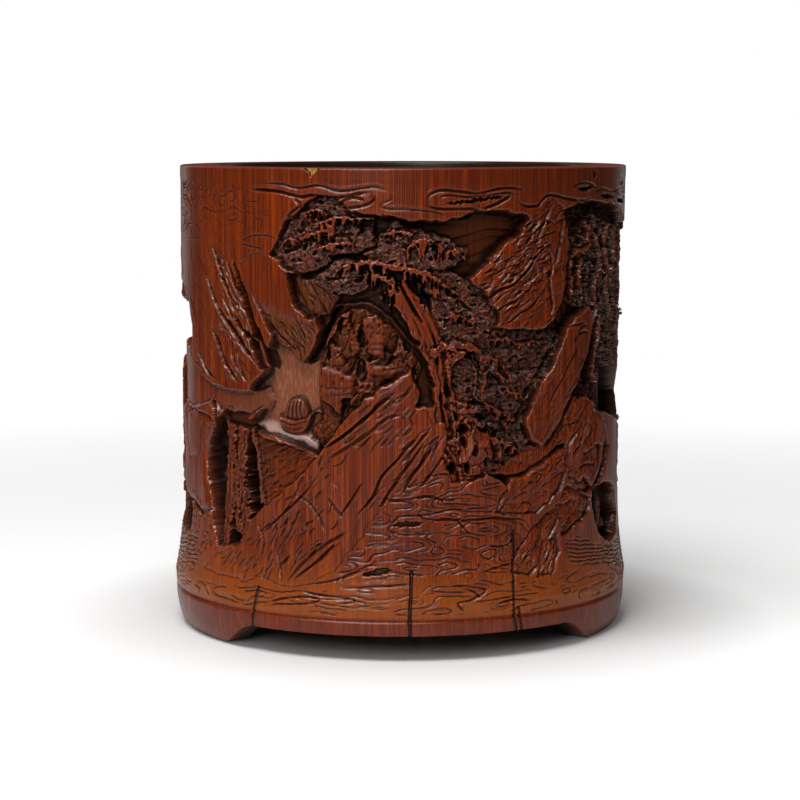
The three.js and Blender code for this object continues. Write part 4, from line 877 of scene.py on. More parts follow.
for outline, inner, seed in gorges:
    ground = form(outline, 6.2, 0.9, (2.6, -1.6), warp=2.0)
    strata(ground, 84, 4.2, 1.6, seed, 1.2)
    stack = form(inner, 0.9, 0.9, (2.4, 1.6), warp=1.6)
    strata(stack, 14, 6.5, 1.3, seed + 1, 1.0)
    facets(stack, 74, 6, 1.8, 1.4, seed + 2)
    nicks(stack, 70, 76, 14, 5, 0.6, 0.6, seed + 3, 1.0, 0.15)
bushes = [(-150, 126, 15, 7, 181), (-171, 132, 12, 6, 182), (-146, 100, 10, 5, 183), (-172, 96, 12, 6, 184),
          (-150, 70, 11, 5, 185), (-170, 60, 11, 5, 186), (224, 120, 15, 7, 187), (250, 130, 13, 6, 188),
          (216, 96, 11, 5, 189), (254, 100, 12, 6, 190), (230, 76, 12, 5, 191), (256, 62, 11, 5, 192),
          (168, 118, 12, 6, 193), (152, 124, 10, 5, 194), (162, 90, 11, 5, 195), (172, 70, 11, 5, 196),
          (128, 118, 13, 6, 197), (190, 122, 12, 6, 198), (284, 126, 13, 6, 199), (118, 104, 11, 6, 200),
          (-116, 120, 10, 5, 201), (284, 96, 10, 5, 202)]
for s0, z0, wide, tall, seed in bushes:
    rng = np.random.default_rng(seed)
    turns = np.linspace(0, 2 * math.pi, 11, endpoint=False)
    swell = 1 + 0.22 * rng.normal(size=11)
    outline = [(s0 + wide / 2 * k * math.cos(a), z0 + tall / 2 * k * math.sin(a) * 1.2)
               for a, k in zip(turns, swell)]
    pad = form(outline, 1.7, 0.8, (1.8, 1.0), warp=1.6, smooth=3, leaf=1)
    needles(pad, 4.2, 0.9, seed)
    way = 1 if rng.random() > 0.5 else -1
    groundLevel = float(depth[window([(s0 - way * wide * 0.3, z0 - tall * 1.2)], 0.5)[0]].mean())
    limb([(s0 - way * wide * 0.5, z0 - tall * 1.5), (s0 - way * wide * 0.16, z0 - tall * 0.8),
          (s0 + way, z0 - tall * 0.2), (s0 + way * wide * 0.3, z0 + tall * 0.15)], 1.1, 0.5,
         max(0.9, groundLevel - 1.6))

# Mist along the foot and clouds under the rim, in four quarters
for first in (84, 160, 236, 312):
    contours(areaOf([(first, 15), (first, 33), (first + 38, 36), (first + 77, 33), (first + 77, 15)]), 21, 5,
             0.5, 0.6, 330 + first, 0.35, 1.2)
    contours(areaOf([(first + 6, 141.5), (first + 6, 149.5), (first + 70, 149.5), (first + 70, 141.5),
                     (first + 38, 144)]), 19, 4, 0.6, 0.55, 340 + first, 0.3, 1.2)

# The relief fades into the plain belt under the rim
depth = np.maximum(depth, 0.03)
beltEase = ramp(sheet["foot"] + np.arange(sheet["rows"]) * zStep, 148.8, 150.5)[:, None]
depth = depth * (1 - beltEase) + np.minimum(depth, 0.06) * beltEase
print("relief depth to", round(float(depth.max()), 2), "mm")


# Turned form of the wall, as in the CAD, in millimetres: foot band, flare, waist, then straight to the rim
def turnedRadius(z):
    t = turned
    line, flareTop, waistTop = t["footLine"], t["flareHeight"], t["waistHeight"]
    footCurve = np.sqrt(1 - (1 - np.clip(z / line, 0, 1)) ** 2)
    band = t["footRadius"] + (t["footLineRadius"] - t["footRadius"]) * footCurve
    flare = t["footLineRadius"] + (t["flareRadius"] - t["footLineRadius"]) * (z - line) / (flareTop - line)
    narrowing = 1 - np.clip((z - flareTop) / (waistTop - flareTop), 0, 1)
    waist = t["waistRadius"] + (t["flareRadius"] - t["waistRadius"]) * narrowing ** 2
    rising = np.clip((z - waistTop) / (t["potHeight"] - waistTop), 0, 1)
    top = t["waistRadius"] + (t["rimRadius"] - t["waistRadius"]) * rising
    return np.where(z < line, band, np.where(z < flareTop, flare, np.where(z < waistTop, waist, top)))


# Height of the wall's lower edge: zero on the feet, up in the arches between them
def lowerEdge(angle):
    degrees = np.degrees(angle)
    clear = np.full(np.shape(angle), 360.0)
    for centre, half in turned["feet"]:
        away = np.abs((degrees - centre + 540) % 360 - 180)
        clear = np.minimum(clear, away - half)
    return turned["archHeight"] * ramp(clear, 0, turned["archRise"])


# Mean over a square of the sheet, closed round the pot
def blurred(field, size):
    reach = max(1, round(size / zStep / 2))
    wide = np.pad(np.pad(field, ((reach, reach), (0, 0)), "edge"), ((0, 0), (reach, reach)), "wrap")
    total = np.pad(wide.cumsum(0).cumsum(1), ((1, 0), (1, 0)))
    side = 2 * reach + 1
    return (total[side:, side:] - total[:-side, side:] - total[side:, :-side]
            + total[:-side, :-side]) / side ** 2


# Age cracks with their fills: a slot in the wall, and a strip that follows the relief
cracks = {
    "crack_fill_left": {
        "width": 0.6, "sink": 0.45, "path": [(-49.8, 8.5), (-49.3, 12.9), (-48.3, 17), (-47.6, 21)]},
    "crack_fill_centre": {
        "width": 0.4, "sink": 0.5, "path": [(3.1, 8.5), (3, 14), (3.3, 20), (3.5, 25), (3.6, 28.5)]},
    "crack_fill_right_inner": {
        "width": 0.4, "sink": 0.5, "path": [(37.9, 8.5), (37.1, 12.5), (36.8, 16), (36.8, 20), (37.1, 26),
                                            (37.4, 33), (37.7, 40)]},
    "crack_fill_right_outer": {
        "width": 0.4, "sink": 0.5, "path": [(39.9, 8.5), (39.1, 12), (38.6, 15.6)]},
}

# The foot band under the sheet, then the whole outside of the wall
bandRows = 26
footBead = {"height": 14.4, "width": 0.5, "rise": 0.03, "lineWidth": 0.75, "bandDepth": 0.05}
angles = np.arange(sheet["columns"]) / sheet["columns"] * 2 * math.pi
edge = lowerEdge(angles)
bandShare = (np.arange(bandRows) / bandRows)[:, None]
bandZ = edge[None, :] + (turned["footLine"] - edge[None, :]) * bandShare
fieldZ = (sheet["foot"] + np.arange(sheet["rows"]) * zStep)[:, None] + np.zeros((1, sheet["columns"]))
outerZ = np.vstack([bandZ, fieldZ])
outerDepth = np.vstack([footBead["bandDepth"] * (1 + roundNoise(9, 6)[:bandRows]), depth])
lineShare = np.clip(1 - np.abs(outerZ - turned["footLine"]) / footBead["lineWidth"], 0, 1)
outerDepth += turned["lineCut"] * lineShare
outerDepth -= footBead["rise"] * np.exp(-((outerZ - footBead["height"]) / footBead["width"]) ** 2)
uncut = outerDepth.copy()
crackTone = np.zeros(outerZ.shape)
outerS = angles * sheet["radius"]
outerS = np.where(outerS > math.pi * sheet["radius"], outerS - 2 * math.pi * sheet["radius"], outerS)
slotDepth = 3.0
for crack in cracks.values():
    path = smoothPath(crack["path"], 6)
    cols = (outerS > path[:, 0].min() - 3) & (outerS < path[:, 0].max() + 3)
    away = alongPath(path, outerS[None, cols] + 0 * outerZ[:, cols], outerZ[:, cols])[0]
    outerDepth[:, cols] += slotDepth * ramp(crack["width"] / 2 + 0.1 - away, -0.14, 0.14)
    stained = np.exp(-(away / (0.3 + crack["width"] / 2)) ** 4)
    crackTone[:, cols] = np.maximum(crackTone[:, cols], stained)

# Small dents that the rim's repairs sit in
dent = {"depth": 1.0, "top": 0.4, "middle": -29.1, "halfWidth": 2.1, "lean": 2.5}
chips = [
    [(-31.2, 154.3), (-31, 153.8), (-29.7, 152.7), (-29.3, 151.4), (-28, 152.4), (-27.2, 153.8),
     (-27, 154.3)], [(71.1, 152.2), (71.4, 150.7), (72.4, 150.1), (73.4, 150.8), (73.5, 152.4),
                     (72.4, 152.9)]]
for outline in chips:
    cols = (outerS > outline[0][0] - 2) & (outerS < outline[0][0] + 6)
    inner = insideOf(outline, outerS[None, cols] + 0 * outerZ[:, cols], outerZ[:, cols])
    outerDepth[:, cols] += dent["depth"] * ramp(inner, -0.35, 0.05)
chipTop = dent["top"] * ramp(dent["halfWidth"] - np.abs(outerS - dent["middle"]), -0.35, 0.05)

# Loop of the wall's section: up the outside, over the rim, down the inside and back under the edge
section = {   # radii over the rim, heights down the well, radii out to the rebate and heights down it
    "rimTop": (73.2, 72, 70, 68, 66, 64.4, 63.4),
    "well": (152, 148, 140, 128, 112, 96, 80, 64, 48, 34, 24, 19, 17.2),
    "shoulder": (62.2, 64, 65.8),
    "rebate": (16.8, 14, 11),
    "edge": ((1.2, 66), (0.15, 66), (0, 66.2), (0, 68.5), (0, 70.8)),   # height above the arch's edge, radius
}
rim, high, bore, rounding = [turned[key] for key in ("rimRadius", "potHeight", "boreRadius", "rimRounding")]
closing = []   # height, radius, and whether the height is counted from the arch's edge
for k in (1, 2, 3, 4):
    a = k / 4 * math.pi / 2
    closing.append((high - rounding * (1 - math.sin(a)), rim - rounding * (1 - math.cos(a)), False))
closing += [(high, radius, False) for radius in section["rimTop"]]
for k in (0, 1, 2, 3):
    a = k / 3 * math.pi / 2
    closing.append((high - rounding * (1 - math.cos(a)), bore + rounding * (1 - math.sin(a)), False))
closing += [(z, bore, False) for z in section["well"]]
closing += [(turned["rebateTop"], radius, False) for radius in section["shoulder"]]
closing += [(z, turned["rebateRadius"], False) for z in section["rebate"]]
closing += [(above, radius, True) for above, radius in section["edge"]]
loopZ = [outerZ]
loopRadius = [turnedRadius(outerZ) - outerDepth]
for height, radius, atEdge in closing:
    sunken = chipTop if height > 153 and radius > 70 else 0 * chipTop
    loopZ.append((height - sunken + (edge if atEdge else 0))[None, :])
    loopRadius.append((radius - dent["lean"] * sunken * (radius > 74))[None, :])
loopZ, loopRadius = np.vstack(loopZ), np.vstack(loopRadius)
outerRows, loopRows = outerZ.shape[0], loopZ.shape[0]


# From millimetres round, up and out from the axis to a place in metres; the culm leans a little to the right
def placeOnWall(s, z, radius):
    start = turned["flareHeight"]
    lean = turned["rimLean"] * np.clip(z - start, 0, None) / (turned["potHeight"] - start)
    angle = s / sheet["radius"]
    return np.stack([lean + radius * np.sin(angle), -radius * np.cos(angle), z], axis=-1) / 1000


loopS = np.broadcast_to(angles * sheet["radius"], loopZ.shape)
places = placeOnWall(loopS, loopZ, loopRadius)
ahead = np.roll(places, -1, axis=1) - np.roll(places, 1, axis=1)
up = np.roll(places, -1, axis=0) - np.roll(places, 1, axis=0)
normals = np.cross(ahead, up)
normals /= np.linalg.norm(normals, axis=2, keepdims=True) + 1e-12

# What the material reads: how deep, how sunk or proud of its surroundings, and the finish
around = blurred(depth, 6.5)
closeBy = blurred(depth, 1.6)
steepness = np.hypot(*np.gradient(depth, zStep, sStep))
attributes = {
    "steep": np.clip((steepness - 0.9) / 2.6, 0, 1),
    "sunk": np.clip(depth / 6.0, 0, 1), "groove": np.clip((depth - closeBy) * 3.6, 0, 1),
    "shade": np.clip((depth - around) / 2.2, 0, 1), "proud": np.clip((closeBy - depth) * 2.4, 0, 1),
    "leafy": leafy, "bare": bare, "limb": limbs, "stone": stones, "tips": tips, "gleam": gleam,
}
# They are carried to the whole loop as nothing on the foot band and inside
bandBlank = np.zeros((bandRows, sheet["columns"]))
insideBlank = np.zeros((loopRows - outerRows, sheet["columns"]))
attributes = {name: np.vstack([bandBlank, field, insideBlank]) for name, field in attributes.items()}
attributes["crack"] = np.vstack([crackTone, insideBlank])
attributes["well"] = np.zeros(loopZ.shape)
attributes["well"][outerRows + 12:] = 1   # from the inner edge of the rim down


# A hex colour as linear light
def colour(text):
    parts = [int(text[k:k + 2], 16) / 255 for k in (1, 3, 5)]
    return [c / 12.92 if c <= 0.04045 else ((c + 0.055) / 1.055) ** 2.4 for c in parts] + [1.0]


# Adds a node with its settings and links: a setting is a property of the node or the value of an input
def add(tree, kind, settings=(), links=()):
    made = tree.nodes.new(kind)
    for name, value in dict(settings).items():
        if isinstance(name, str) and hasattr(made, name):
            setattr(made, name, value)
        else:
            made.inputs[name].default_value = value
    for name, source in dict(links).items():
        tree.links.new(source, made.inputs[name])
    return made.outputs


# An empty node tree in a material or a world
def newTree(owner):
    owner.use_nodes = True
    owner.node_tree.nodes.clear()
    return owner.node_tree


def newMaterial(name):
    made = bpy.data.materials.new(name)
    return made, newTree(made)


# Ends a material with its surface
def surface(tree, settings, links):
    shader = add(tree, "ShaderNodeBsdfPrincipled", settings, links)[0]
    add(tree, "ShaderNodeOutputMaterial", (), {"Surface": shader})


# Old oiled bamboo, carved and handled for centuries: red-brown with fine upright fibre bundles, polished on
# what stands proud; hollows, steep walls and cuts are painted near black, a painted shade that also stands
# for the oil and dust in them
bamboo, tree = newMaterial("carvedBambooOiled")
place = add(tree, "ShaderNodeTexCoord")["Object"]
read = {name: add(tree, "ShaderNodeAttribute", {"attribute_name": name})["Fac"] for name in attributes}
grain = {}   # noise drawn out along the culm, by its width and length in millimetres
for name, across, along, detail in (("fine", 0.7, 60, 0.0), ("hair", 0.34, 14, 0.0), ("broad", 4.5, 90, 2.0),
                                    ("cloudy", 16, 50, 2.0), ("speck", 0.6, 1.6, 1.0),
                                    ("dash", 0.5, 2.4, 0.0)):
    scaled = add(tree, "ShaderNodeMapping", {3: (1000 / across, 1000 / across, 1000 / along)}, {0: place})[0]
    grain[name] = add(tree, "ShaderNodeTexNoise", {"Scale": 1.0, "Detail": detail, "Roughness": 0.5},
                      {"Vector": scaled})[0]
bundles = {"around": 640.0, "wander": 0.012}   # fibre bundles round the pot, and how far they stray
side, front, height = add(tree, "ShaderNodeSeparateXYZ", (), {0: place})
turn = add(tree, "ShaderNodeMath", {"operation": "ARCTAN2"}, {0: side, 1: front})[0]
sway = add(tree, "ShaderNodeMath", {"operation": "MULTIPLY", 1: bundles["wander"]}, {0: grain["broad"]})[0]
turn = add(tree, "ShaderNodeMath", {"operation": "ADD"}, {0: turn, 1: sway})[0]
turn = add(tree, "ShaderNodeMath", {"operation": "MULTIPLY", 1: bundles["around"]}, {0: turn})[0]
bundle = add(tree, "ShaderNodeMath", {"operation": "SINE"}, {0: turn})[0]
read["bundle"] = add(tree, "ShaderNodeMapRange", {1: -1.0, 2: 1.0}, {0: bundle})[0]
# Painted highlight: lighter orange from the foot line up the flare, where the wall faces a little up to the
# lamp above, fading out by 34 mm
flareStart = add(tree, "ShaderNodeMapRange", {1: 0.0125, 2: 0.0145}, {0: height})[0]
read["flare"] = add(tree, "ShaderNodeMapRange", {1: 0.018, 2: 0.034, 3: 1.0, 4: 0.0}, {0: height})[0]
read["flare"] = add(tree, "ShaderNodeMath", {"operation": "MULTIPLY"}, {0: read["flare"], 1: flareStart})[0]
read["footBand"] = add(tree, "ShaderNodeMapRange", {1: 0.0125, 2: 0.0115}, {0: height})[0]
read["belt"] = add(tree, "ShaderNodeMapRange", {1: 0.144, 2: 0.152}, {0: height})[0]
read.update(grain)


# Each layer: what it follows, from where to where, how much at most, and its colour
def layered(tree, tone, layers):
    for follows, low, high, most, over in layers:
        share = add(tree, "ShaderNodeMapRange", {1: low, 2: high, 4: most}, {0: read[follows]})[0]
        tone = add(tree, "ShaderNodeMix", {"data_type": "RGBA", 7: colour(over)}, {0: share, 6: tone})[2]
    return tone


wood = add(tree, "ShaderNodeRGB")[0]
wood.default_value = colour("#6E2206")
tone = layered(tree, wood, [
    ("bundle", 0.4, 1.0, 0.55, "#9E3E0A"), ("bundle", 0.6, 0.0, 0.6, "#481203"),
    ("fine", 0.52, 0.7, 0.55, "#A8460C"), ("fine", 0.48, 0.3, 0.55, "#3E0F03"),
    ("hair", 0.55, 0.75, 0.3, "#A84A14"), ("broad", 0.5, 0.8, 0.2, "#8E3A10"),
    ("cloudy", 0.45, 0.75, 0.5, "#4E1806"), ("belt", 0, 1, 0.35, "#5A1C0C"), ("flare", 0, 1, 0.5, "#B05A14"),
    ("footBand", 0, 1, 0.35, "#6A2C1C"), ("limb", 0, 1, 0.5, "#7E2C0E"), ("stone", 0, 1, 0.4, "#6E3C16")])
leaf = layered(tree, wood, [
    ("speck", 0.5, 0.62, 0.6, "#5E3222"), ("proud", 0.1, 0.8, 0.75, "#7A6458"),
    ("tips", 0.1, 1, 0.6, "#8E301A")])
tone = add(tree, "ShaderNodeMix", {"data_type": "RGBA"}, {0: read["leafy"], 6: tone, 7: leaf})[2]
tone = layered(tree, tone, [("proud", 0.25, 1, 0.35, "#A84E1E"), ("bare", 0, 1, 0.9, "#8A4E32")])
read["pale"] = add(tree, "ShaderNodeMath", {"operation": "MULTIPLY"}, {0: read["bare"], 1: grain["dash"]})[0]
# Painted shade: the deeper a place is sunk, the darker it is painted, less on bare water; its shine is
# lowered there too
read["sunkShade"] = add(tree, "ShaderNodeMath", {"operation": "SUBTRACT", "use_clamp": True},
                      {0: read["sunk"], 1: read["bare"]})[0]
# Pale dashes on the water, gleam a painted highlight along its shore, then painted shade, near black, by
# depth, on steep walls, below the surroundings and in the cuts; then the dark of the cracks and of the inside
# of the well
tone = layered(tree, tone, [
    ("pale", 0.52, 0.66, 0.55, "#AA6E4E"), ("gleam", 0, 1, 0.55, "#B29C98"),
    ("sunkShade", 0.3, 0.62, 0.5, "#4A2A12"), ("sunkShade", 0.6, 1.0, 0.7, "#221208"),
    ("steep", 0, 1, 0.72, "#26130A"), ("shade", 0.15, 1, 0.72, "#26140B"),
    ("groove", 0.06, 0.7, 0.85, "#1A0B06"), ("crack", 0.2, 1, 0.8, "#140A06"), ("well", 0, 1, 1, "#2A1A12")])

# Rougher where it is sunk and shinier where hands have rubbed it
rough = add(tree, "ShaderNodeMapRange", {1: 0.3, 2: 0.7, 3: 0.36, 4: 0.28}, {0: grain["fine"]})[0]
sheen = add(tree, "ShaderNodeMapRange", {1: 0.1, 2: 0.7, 3: 0.34, 4: 0.12}, {0: read["sunkShade"]})[0]
change = add(tree, "ShaderNodeMapRange", {1: 0.2, 2: 1.0, 4: 0.22}, {0: read["sunk"]})[0]
rough = add(tree, "ShaderNodeMath", {"operation": "ADD"}, {0: rough, 1: change})[0]
change = add(tree, "ShaderNodeMapRange", {1: 0.1, 2: 0.9, 4: 0.14}, {0: read["proud"]})[0]
rough = add(tree, "ShaderNodeMath", {"operation": "SUBTRACT"}, {0: rough, 1: change})[0]
change = add(tree, "ShaderNodeMapRange", {1: 0.2, 2: 0.9, 4: 0.3}, {0: read["proud"]})[0]
sheen = add(tree, "ShaderNodeMath", {"operation": "ADD"}, {0: sheen, 1: change})[0]
relief = add(tree, "ShaderNodeBump", {"Strength": 0.3, "Distance": 0.0001}, {"Height": grain["fine"]})[0]
surface(tree, {"IOR": 1.5}, {"Base Color": tone, "Roughness": rough, "Specular IOR Level": sheen,
                             "Normal": relief})

# The same wood where it is cut into needles: dark between, greyed and dry on the ridges, some tips rubbed red
needleWood, tree = newMaterial("carvedNeedlesDry")
place = add(tree, "ShaderNodeTexCoord")["Object"]
scaled = add(tree, "ShaderNodeMapping", {3: (420, 420, 560)}, {0: place})[0]
mottle = add(tree, "ShaderNodeTexNoise", {"Scale": 1.0, "Detail": 1.0}, {"Vector": scaled})[0]
share = add(tree, "ShaderNodeMapRange", {1: 0.35, 2: 0.6}, {0: mottle})[0]
tone = add(tree, "ShaderNodeMix", {"data_type": "RGBA", 6: colour("#3C2A22"), 7: colour("#78625A")},
           {0: share})[2]
share = add(tree, "ShaderNodeMapRange", {1: 0.64, 2: 0.7, 4: 0.85}, {0: mottle})[0]
tone = add(tree, "ShaderNodeMix", {"data_type": "RGBA", 7: colour("#9A3418")}, {0: share, 6: tone})[2]
surface(tree, {"Roughness": 0.45, "Specular IOR Level": 0.35}, {"Base Color": tone})


# Lacquer putty pressed into a split and rubbed down: slightly mottled, semi-gloss
def lacquer(name, dark, light, grain, rough):
    made, tree = newMaterial(name)
    place = add(tree, "ShaderNodeTexCoord")["Object"]
    scaled = add(tree, "ShaderNodeMapping", {3: (1000 / grain, 1000 / grain, 400 / grain)}, {0: place})[0]
    value = add(tree, "ShaderNodeTexNoise", {"Scale": 1.0, "Detail": 3.0}, {"Vector": scaled})[0]
    share = add(tree, "ShaderNodeMapRange", {1: 0.3, 2: 0.7}, {0: value})[0]
    tone = add(tree, "ShaderNodeMix", {"data_type": "RGBA", 6: colour(dark), 7: colour(light)}, {0: share})[2]
    gloss = add(tree, "ShaderNodeMapRange", {1: 0.3, 2: 0.7, 3: rough, 4: rough + 0.15}, {0: value})[0]
    bump = add(tree, "ShaderNodeBump", {"Strength": 0.3, "Distance": 0.0001}, {"Height": value})[0]
    surface(tree, (), {"Base Color": tone, "Roughness": gloss, "Normal": bump})
    return made


putty = lacquer("lacquerPuttyWorn", "#24150F", "#4A372E", 0.9, 0.4)
darkPutty = lacquer("lacquerPuttyDark", "#0E0705", "#2A1710", 0.8, 0.35)
gold = lacquer("lacquerRepairGold", "#8C6420", "#C99A45", 0.7, 0.35)
bead = lacquer("lacquerBeadBrushed", "#140B08", "#2E1C14", 2.5, 0.3)

# Plain bamboo floor, planed and left unpolished: the fibres lie across the disc
floorWood, tree = newMaterial("floorDiscPlaned")
place = add(tree, "ShaderNodeTexCoord")["Object"]
scaled = add(tree, "ShaderNodeMapping", {3: (30, 900, 900)}, {0: place})[0]
streaks = add(tree, "ShaderNodeTexNoise", {"Scale": 1.0, "Detail": 3.0}, {"Vector": scaled})[0]
blotch = add(tree, "ShaderNodeTexNoise", {"Scale": 45.0, "Detail": 2.0}, {"Vector": place})[0]
share = add(tree, "ShaderNodeMapRange", {1: 0.35, 2: 0.65}, {0: streaks})[0]
tone = add(tree, "ShaderNodeMix", {"data_type": "RGBA", 6: colour("#3A2216"), 7: colour("#5C3A26")},
           {0: share})[2]
share = add(tree, "ShaderNodeMapRange", {1: 0.45, 2: 0.7, 4: 0.5}, {0: blotch})[0]
tone = add(tree, "ShaderNodeMix", {"data_type": "RGBA", 7: colour("#2A1810")}, {0: share, 6: tone})[2]
gloss = add(tree, "ShaderNodeMapRange", {1: 0.3, 2: 0.7, 3: 0.55, 4: 0.7}, {0: streaks})[0]
bump = add(tree, "ShaderNodeBump", {"Strength": 0.4, "Distance": 0.00015}, {"Height": streaks})[0]
surface(tree, (), {"Base Color": tone, "Roughness": gloss, "Normal": bump})


def addObject(name, mesh, material):
    mesh.materials.append(material)
    made = bpy.data.objects.new(name, mesh)
    bpy.context.scene.collection.objects.link(made)
    return made


# Two islands of a sector's own map: the carved outside, then the rim and the inside, with the caps beside
def sectorMap(span):
    u = np.arange(span) / span
    row = np.arange(loopRows)[:, None]
    outside = row < outerRows
    v, vAbove = [np.where(outside, level / outerRows, (level - outerRows) / (loopRows - outerRows)) + 0 * u
                 for level in (row, row + 1)]
    left = np.where(outside, 0.75 * u, 0.77 + 0.2 * u)
    right = left + np.where(outside, 0.75, 0.2) / span
    uv = np.stack([left, v, right, v, right, vAbove, left, vAbove], axis=-1).reshape(-1, 2)
    capUv = np.stack([0.98 + 0.015 * (loopRadius[:, 0] - 60) / 18, 0.2 * loopZ[:, 0] / 154], axis=-1)
    return np.vstack([uv, capUv, capUv[::-1] + [0, 0.3]])


# The wall in eight closed sectors whose seams share their points and normals
def buildSector(sector):
    span = sheet["columns"] // sheet["sectors"]
    cols = (span // 2 + sector * span + np.arange(span + 1)) % sheet["columns"]
    points = places[:, cols].reshape(-1, 3)
    corner = np.arange(len(points)).reshape(loopRows, span + 1)
    above = np.roll(corner, -1, axis=0)
    quads = np.stack([corner[:, :-1], corner[:, 1:], above[:, 1:], above[:, :-1]], axis=-1).reshape(-1, 4)
    indices = np.concatenate([quads.ravel(), corner[:, 0], corner[::-1, -1]]).astype(np.int32)
    sizes = np.concatenate([np.full(len(quads), 4), [loopRows, loopRows]]).astype(np.int32)
    starts = np.concatenate([[0], np.cumsum(sizes)[:-1]]).astype(np.int32)
    mesh = bpy.data.meshes.new("culmSector%d" % sector)
    mesh.vertices.add(len(points))
    mesh.vertices.foreach_set("co", points.astype(np.float32).ravel())
    mesh.loops.add(len(indices))
    mesh.loops.foreach_set("vertex_index", indices)
    mesh.polygons.add(len(sizes))
    mesh.polygons.foreach_set("loop_start", starts)
    mesh.update(calc_edges=True)
    layer = mesh.uv_layers.new(name="OFBake")
    layer.uv.foreach_set("vector", sectorMap(span).astype(np.float32).ravel())
    for name, field in attributes.items():
        data = mesh.attributes.new(name, "FLOAT", "POINT")
        data.data.foreach_set("value", field[:, cols].astype(np.float32).ravel())
    mesh.polygons.foreach_set("use_smooth", np.concatenate([np.ones(len(quads), bool), [False, False]]))
    mesh.validate()
    mesh.normals_split_custom_set_from_vertices(normals[:, cols].reshape(-1, 3).astype(np.float32))
    piece = addObject("culm_sector_%d" % (sector + 1), mesh, bamboo)
    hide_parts("culm_wall")
    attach(piece, "root")


print("building the wall")
for sector in range(sheet["sectors"]):
    buildSector(sector)


# Carved needles: a small fan of pointed ridges, set all over the pads and bushes of the relief
needleSizes = {"needles": 13, "spread": 1.3, "length": 0.0021, "halfWidth": 0.00012, "lift": 0.0003,
               "sink": 0.00022, "apart": 0.0017, "sway": 0.6, "seed": 7}


def needleFan():
    size = needleSizes
    sink, lift = Vector((0, 0, size["sink"])), Vector((0, 0, size["lift"]))
    points, faces = [], []
    for k in range(size["needles"]):
        turn = size["spread"] * (2 * k / (size["needles"] - 1) - 1)
        along = Vector((math.sin(turn), math.cos(turn), 0))
        across = Vector((math.cos(turn), -math.sin(turn), 0))
        foot = 0.12 * size["length"] * along
        half = size["halfWidth"] * across
        tip = size["length"] * (1 - 0.12 * (k % 3)) * along
        first = len(points)
        points += [foot - half - sink, foot + half - sink, 0.5 * (foot + tip) + lift, tip - 0.5 * sink]
        faces += [[first + c for c in face] for face in ((0, 1, 2), (1, 3, 2), (3, 0, 2), (0, 3, 1))]
    mesh = bpy.data.meshes.new("needleFan")
    mesh.from_pydata([tuple(p) for p in points], [], faces)
    return bpy.data.objects.new("needleFan", mesh)


# The part of the wall that the needles grow from
def padGround():
    held = tufts > 0.6
    rows, cols = np.nonzero(held[:-1] & held[1:] & np.roll(held[:-1], -1, 1) & np.roll(held[1:], -1, 1))
    here, ahead = rows * sheet["columns"] + cols, rows * sheet["columns"] + (cols + 1) % sheet["columns"]
    quads = np.stack([here, ahead, ahead + sheet["columns"], here + sheet["columns"]], -1)
    mesh = bpy.data.meshes.new("padGround")
    mesh.from_pydata(places[bandRows:outerRows].reshape(-1, 3).tolist(), [], quads.tolist())
    mesh.validate()
    return mesh


# Points over the ground, each with a fan that lies along it, points up and sways, then made one mesh
def buildNeedles():
    fan = needleFan()
    holder = bpy.data.objects.new("pine_needles", padGround())
    bpy.context.scene.collection.objects.link(holder)
    tree = bpy.data.node_groups.new("needleScatter", "GeometryNodeTree")
    tree.interface.new_socket("Geometry", in_out="INPUT", socket_type="NodeSocketGeometry")
    inputs = {}
    for label, kind in (("Fan", "NodeSocketObject"), ("Apart", "NodeSocketFloat"), ("Seed", "NodeSocketInt"),
                        ("Sway", "NodeSocketFloat"), ("Material", "NodeSocketMaterial")):
        inputs[label] = tree.interface.new_socket(label, in_out="INPUT", socket_type=kind).identifier
    tree.interface.new_socket("Geometry", in_out="OUTPUT", socket_type="NodeSocketGeometry")
    given = add(tree, "NodeGroupInput")
    spots = add(tree, "GeometryNodeDistributePointsOnFaces",
                {"distribute_method": "POISSON", "Density Max": 900000.0},
                {"Mesh": given["Geometry"], "Distance Min": given["Apart"], "Seed": given["Seed"]})
    facing = add(tree, "FunctionNodeAlignRotationToVector", {"axis": "Z"}, {"Vector": spots["Normal"]})[0]
    upright = add(tree, "FunctionNodeAlignRotationToVector",
                  {"axis": "Y", "pivot_axis": "Z", "Vector": (0, 0, 1)}, {"Rotation": facing})[0]
    least = add(tree, "ShaderNodeMath", {"operation": "MULTIPLY", 1: -1.0}, {0: given["Sway"]})[0]
    sway = add(tree, "FunctionNodeRandomValue", {"data_type": "FLOAT"},
               {2: least, 3: given["Sway"], "Seed": given["Seed"]})[1]
    spin = add(tree, "FunctionNodeAxisAngleToRotation", {"Axis": (0, 0, 1)}, {"Angle": sway})[0]
    aimed = add(tree, "FunctionNodeRotateRotation", {"rotation_space": "LOCAL"}, {0: upright, 1: spin})[0]
    shape = add(tree, "GeometryNodeObjectInfo", (), {"Object": given["Fan"]})["Geometry"]
    grow = add(tree, "FunctionNodeRandomValue", {"data_type": "FLOAT", 2: 0.7, 3: 1.15},
               {"Seed": given["Seed"]})[1]
    placed = add(tree, "GeometryNodeInstanceOnPoints", (), {"Points": spots["Points"], "Instance": shape,
                                                          "Rotation": aimed, "Scale": grow})[0]
    real = add(tree, "GeometryNodeRealizeInstances", (), {0: placed})[0]
    done = add(tree, "GeometryNodeSetMaterial", (), {0: real, "Material": given["Material"]})[0]
    add(tree, "NodeGroupOutput", (), {0: done})

    modifier = holder.modifiers.new("scatter", "NODES")
    modifier.node_group = tree
    for label, value in (("Fan", fan), ("Apart", needleSizes["apart"]), ("Seed", needleSizes["seed"]),
                         ("Sway", needleSizes["sway"]), ("Material", needleWood)):
        modifier[inputs[label]] = value
    bpy.context.view_layer.update()
    graph = bpy.context.evaluated_depsgraph_get()
    mesh = bpy.data.meshes.new_from_object(holder.evaluated_get(graph))
    holder.modifiers.clear()
    holder.data = mesh
    bpy.data.objects.remove(fan)
    print("needles:", len(mesh.polygons), "faces")
    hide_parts("culm_wall")
    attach(holder, "root")


